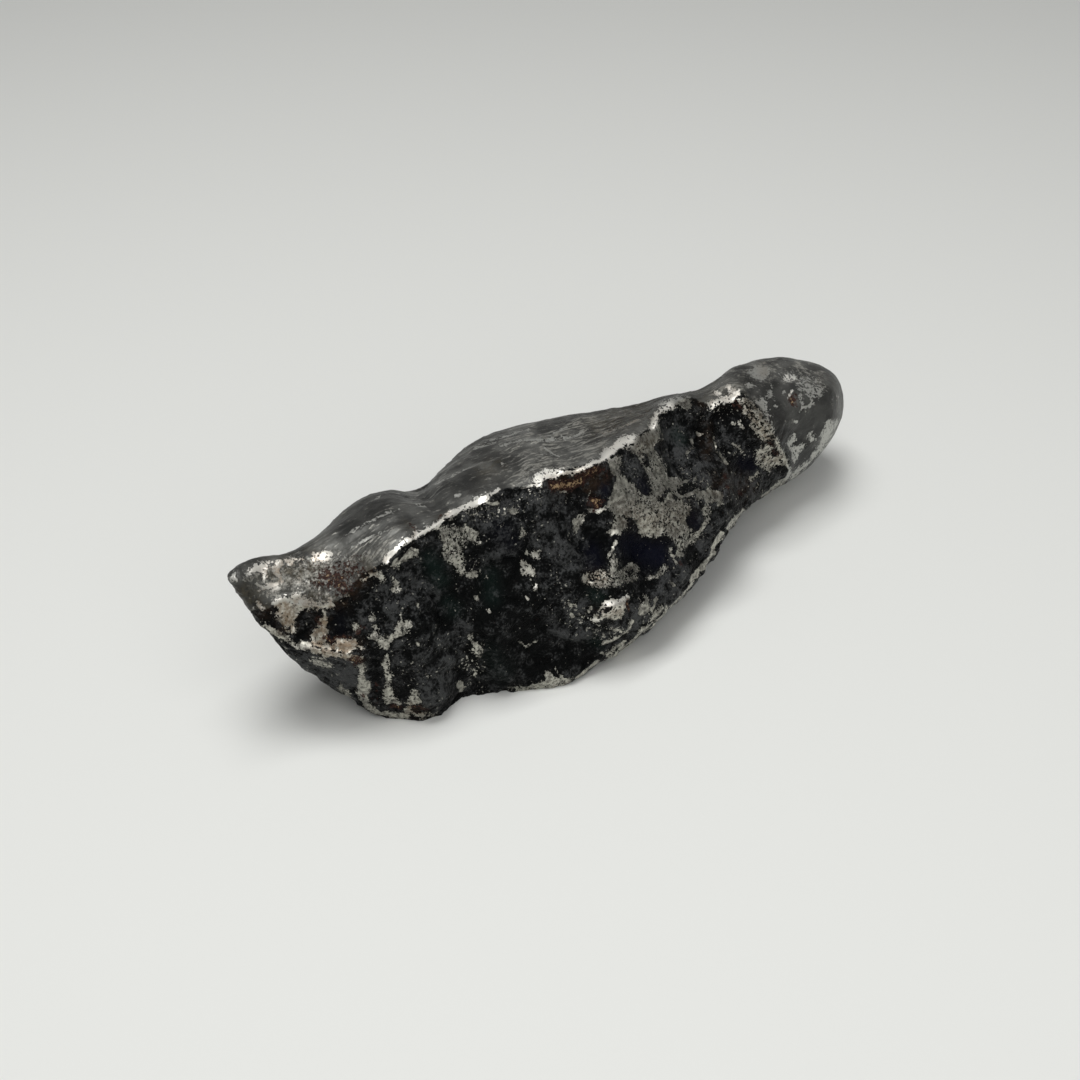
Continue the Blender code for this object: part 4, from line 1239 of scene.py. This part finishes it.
# The crust's colour: black speckled with grey, more so where it is thin, greyer on grains and lumps that
# stand up as painted light, blue or teal in places.
grey_share = node("MapRange", SMOOTH, sums["greyness"], *STEPS["greyness"])
crust_colour = node("Mix", COLOURS, grey_share, linear(CRUST_BLACK), linear(CRUST_GREY))
for name, colour in (("blue", CRUST_BLUE), ("teal", CRUST_TEAL)):
    tint = node("Math", TIMES, marks[name], COVER[name])
    crust_colour = node("Mix", COLOURS, tint, crust_colour, linear(colour))

# Worn thin, it is an even satin grey with light streaks along the stone, paler where it is thinnest.
# Where the darkening wash lies it turns to a painted shade; its light streaks are partly painted sheen and
# painted light on grains that stand up.
cloudy = node("MapRange", SMOOTH, pattern["cloud"], *STEPS["cloud"])
worn_colour = node("Mix", COLOURS, cloudy, linear(WORN_DARK), linear(WORN_MID))
worn_painted_shade = node("Math", TIMES, marks["dark_crust_and_shade"], COVER["dark_crust_and_shade"])
worn_colour = node("Mix", COLOURS, worn_painted_shade, worn_colour, linear(WORN_PAINTED_SHADE))
mottle = node("Mix", NUMBERS, 0.5, pattern["patch"], pattern["speckle"])
streaks = node("Mix", NUMBERS, marks["streaky"], mottle, pattern["streak"])
streaks = node("Math", PLUS, streaks, sums["streaks"])
streak_share = node("Math", TIMES, node("MapRange", SMOOTH, streaks, *STEPS["streaks"]), COVER["streaks"])
worn_colour = node("Mix", COLOURS, streak_share, worn_colour, linear(WORN_LIGHT))
pocks = node("Math", TIMES, marks["flecked"], node("MapRange", SMOOTH, pattern["pock"], *STEPS["pocks"]))
worn_colour = node("Mix", COLOURS, node("Math", TIMES, pocks, COVER["pocks"]), worn_colour, linear(WORN_POCK))
worn_share = node("MapRange", SMOOTH, sums["worn"], *STEPS["worn"])
crust_colour = node("Mix", COLOURS, worn_share, crust_colour, worn_colour)
brown = node("Math", TIMES, marks["tan"], node("MapRange", SMOOTH, pattern["edge"], *STEPS["brown"]))
brown_colour = node("Mix", COLOURS, worn_share, linear(CRUST_BROWN), linear(WORN_BROWN))
crust_colour = node("Mix", COLOURS, node("Math", TIMES, brown, COVER["brown"]), crust_colour, brown_colour)

# A painted shadow: the crust is darkened in a broken line round the bare metal, as if shaded by its own step.
edge_shadow_share = node("MapRange", SMOOTH, ragged, *STEPS["crust edge shadow"])
edge_painted_shadow = node("MapRange", {}, worn_share, 0.0, 1.0, CRUST_EDGE_SHADOW_COVER, WORN_EDGE_SHADOW_COVER)
edge_painted_shadow = node("Math", TIMES, edge_shadow_share, edge_painted_shadow)
crust_colour = node("Mix", COLOURS, edge_painted_shadow, crust_colour, linear(CRUST_BLACK))

# The metal's colour: grey, tan under thin rust, near white where it is polished, which is partly a painted
# highlight, duller in clouds.
dull_share = node("MapRange", SMOOTH, pattern["metal cloud"], *STEPS["dull metal"])
metal_colour = node("Mix", COLOURS, dull_share, linear(METAL_DULL), linear(METAL))
metal_colour = node("Mix", COLOURS, worn_share, metal_colour, linear(METAL_HANDLED))
metal_colour = node("Mix", COLOURS, marks["polish_and_highlight"], metal_colour, linear(METAL_POLISH_HIGHLIGHT))
tan_cloud = node("MapRange", SMOOTH, pattern["metal cloud"], *STEPS["tan metal"])
tan_share = node("Math", TIMES, node("Math", TIMES, marks["tan"], tan_cloud), COVER["tan"])
metal_colour = node("Mix", COLOURS, tan_share, metal_colour, linear(METAL_TAN))
surface = node("Mix", COLOURS, metal_share, crust_colour, metal_colour)

# Rust lies over both, in clots: dark, with light specks, and orange where it is thickest.
rust_share = node("Math", TIMES, node("MapRange", SMOOTH, sums["rust"], *STEPS["rust"]), COVER["rust"])
rust_tone = node("MapRange", SMOOTH, pattern["rust tone"], *STEPS["rust tone"])
rust_colour = node("Mix", COLOURS, rust_tone, linear(RUST_DARK), linear(RUST_MID))
for name, colour in (("rust light", RUST_BRIGHT), ("rust orange", RUST_ORANGE)):
    rust_cover = node("MapRange", SMOOTH, sums[name], *STEPS[name])
    rust_colour = node("Mix", COLOURS, rust_cover, rust_colour, linear(colour))
surface = node("Mix", COLOURS, rust_share, surface, rust_colour)

# Bump: the crust's grain, its edge above the metal, the pits, and flow lines too fine for the mesh.
worn_height = node("Math", TIMES_PLUS, pocks, -POCK_DEPTH, sums["worn height"])
crust_height = node("Mix", NUMBERS, worn_share, sums["crust height"], worn_height)
height = node("Mix", NUMBERS, metal_share, crust_height, sums["metal height"])
height = node("Math", TIMES_PLUS, node("Math", TIMES, pit_share, bare_share), -PIT_DEPTH, height)
smoothed = node("MapRange", {}, marks["polish_and_highlight"], 0.0, 1.0, BUMP_STRENGTH, POLISHED_BUMP_STRENGTH)
bump = node("Bump", {}, smoothed, MM, None, height)

# Fine scratches make the handled and the polished metal partly matt, so it is pale from every side; on the
# polished places its near-white colour is a painted highlight.
no_metal, no_rust = (node("Math", MINUS, 1.0, share) for share in (metal_share, rust_share))
metal_sheen = node("Math", TIMES, metal_share, node("Math", LARGER, sums["metal sheen"], METAL_SHEEN_LEAST))
worn_metallic = node("Math", TIMES, node("Math", TIMES, worn_share, WORN_METALLIC), no_metal)
grey_metallic = node("Math", TIMES, grey_share, GREY_METALLIC)
metallic = node("Math", LARGER, metal_sheen, node("Math", LARGER, worn_metallic, grey_metallic))
metallic = node("Math", TIMES, metallic, no_rust)
roughness = node("Mix", NUMBERS, metal_share, sums["crust roughness"], sums["metal roughness"])
roughness = node("Math", TIMES_PLUS, rust_share, RUST_ROUGHER, roughness)
shader.inputs["Specular IOR Level"].default_value = CRUST_SPECULAR

links = crust.node_tree.links
links.new(surface, shader.inputs["Base Color"])
links.new(metallic, shader.inputs["Metallic"])
links.new(roughness, shader.inputs["Roughness"])
links.new(bump, shader.inputs["Normal"])

stone.data.materials.clear()
stone.data.materials.append(crust)
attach(stone, "root")
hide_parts("meteorite")

# Floor: a wide sheet of pale card that the stone lies on.
FLOOR_SIZE = 3.0
FLOOR_GREY = "#e9eae6"
FLOOR_ROUGHNESS = 0.8
bpy.ops.object.select_all(action="DESELECT")
bpy.ops.mesh.primitive_plane_add(size=FLOOR_SIZE)
floor = bpy.context.object
floor.name = "floor"
card = bpy.data.materials.new("pale_card")
card.use_nodes = True
card_shader = card.node_tree.nodes["Principled BSDF"]
card_shader.inputs["Base Color"].default_value = linear(FLOOR_GREY)
card_shader.inputs["Roughness"].default_value = FLOOR_ROUGHNESS
floor.data.materials.append(card)

# Light: a bright soft lamp over the stone and a broad soft one in front, in a dim pale room.
LAMP_SIZE, LAMP_POWER = 0.20, 0.95
BROAD_PLACE = Vector((-0.12, -0.35, 0.35))
BROAD_SIZE, BROAD_POWER = 0.5, 1.18
ROOM_WHITE, ROOM_STRENGTH = "#ffffff", 0.10
for name, size, power, where in (
    ("overhead_lamp", LAMP_SIZE, LAMP_POWER, LAMP_PLACE),
    ("broad_lamp", BROAD_SIZE, BROAD_POWER, BROAD_PLACE),
):
    bpy.ops.object.light_add(type="AREA", location=where, rotation=where.to_track_quat("Z", "Y").to_euler())
    lamp = bpy.context.object
    lamp.name = name
    lamp.data.size = size
    lamp.data.energy = power
room = bpy.data.worlds.new("room")
room.use_nodes = True
room.node_tree.nodes["Background"].inputs[0].default_value = linear(ROOM_WHITE)
room.node_tree.nodes["Background"].inputs[1].default_value = ROOM_STRENGTH
bpy.context.scene.world = room
bpy.context.scene.view_settings.view_transform = "Standard"
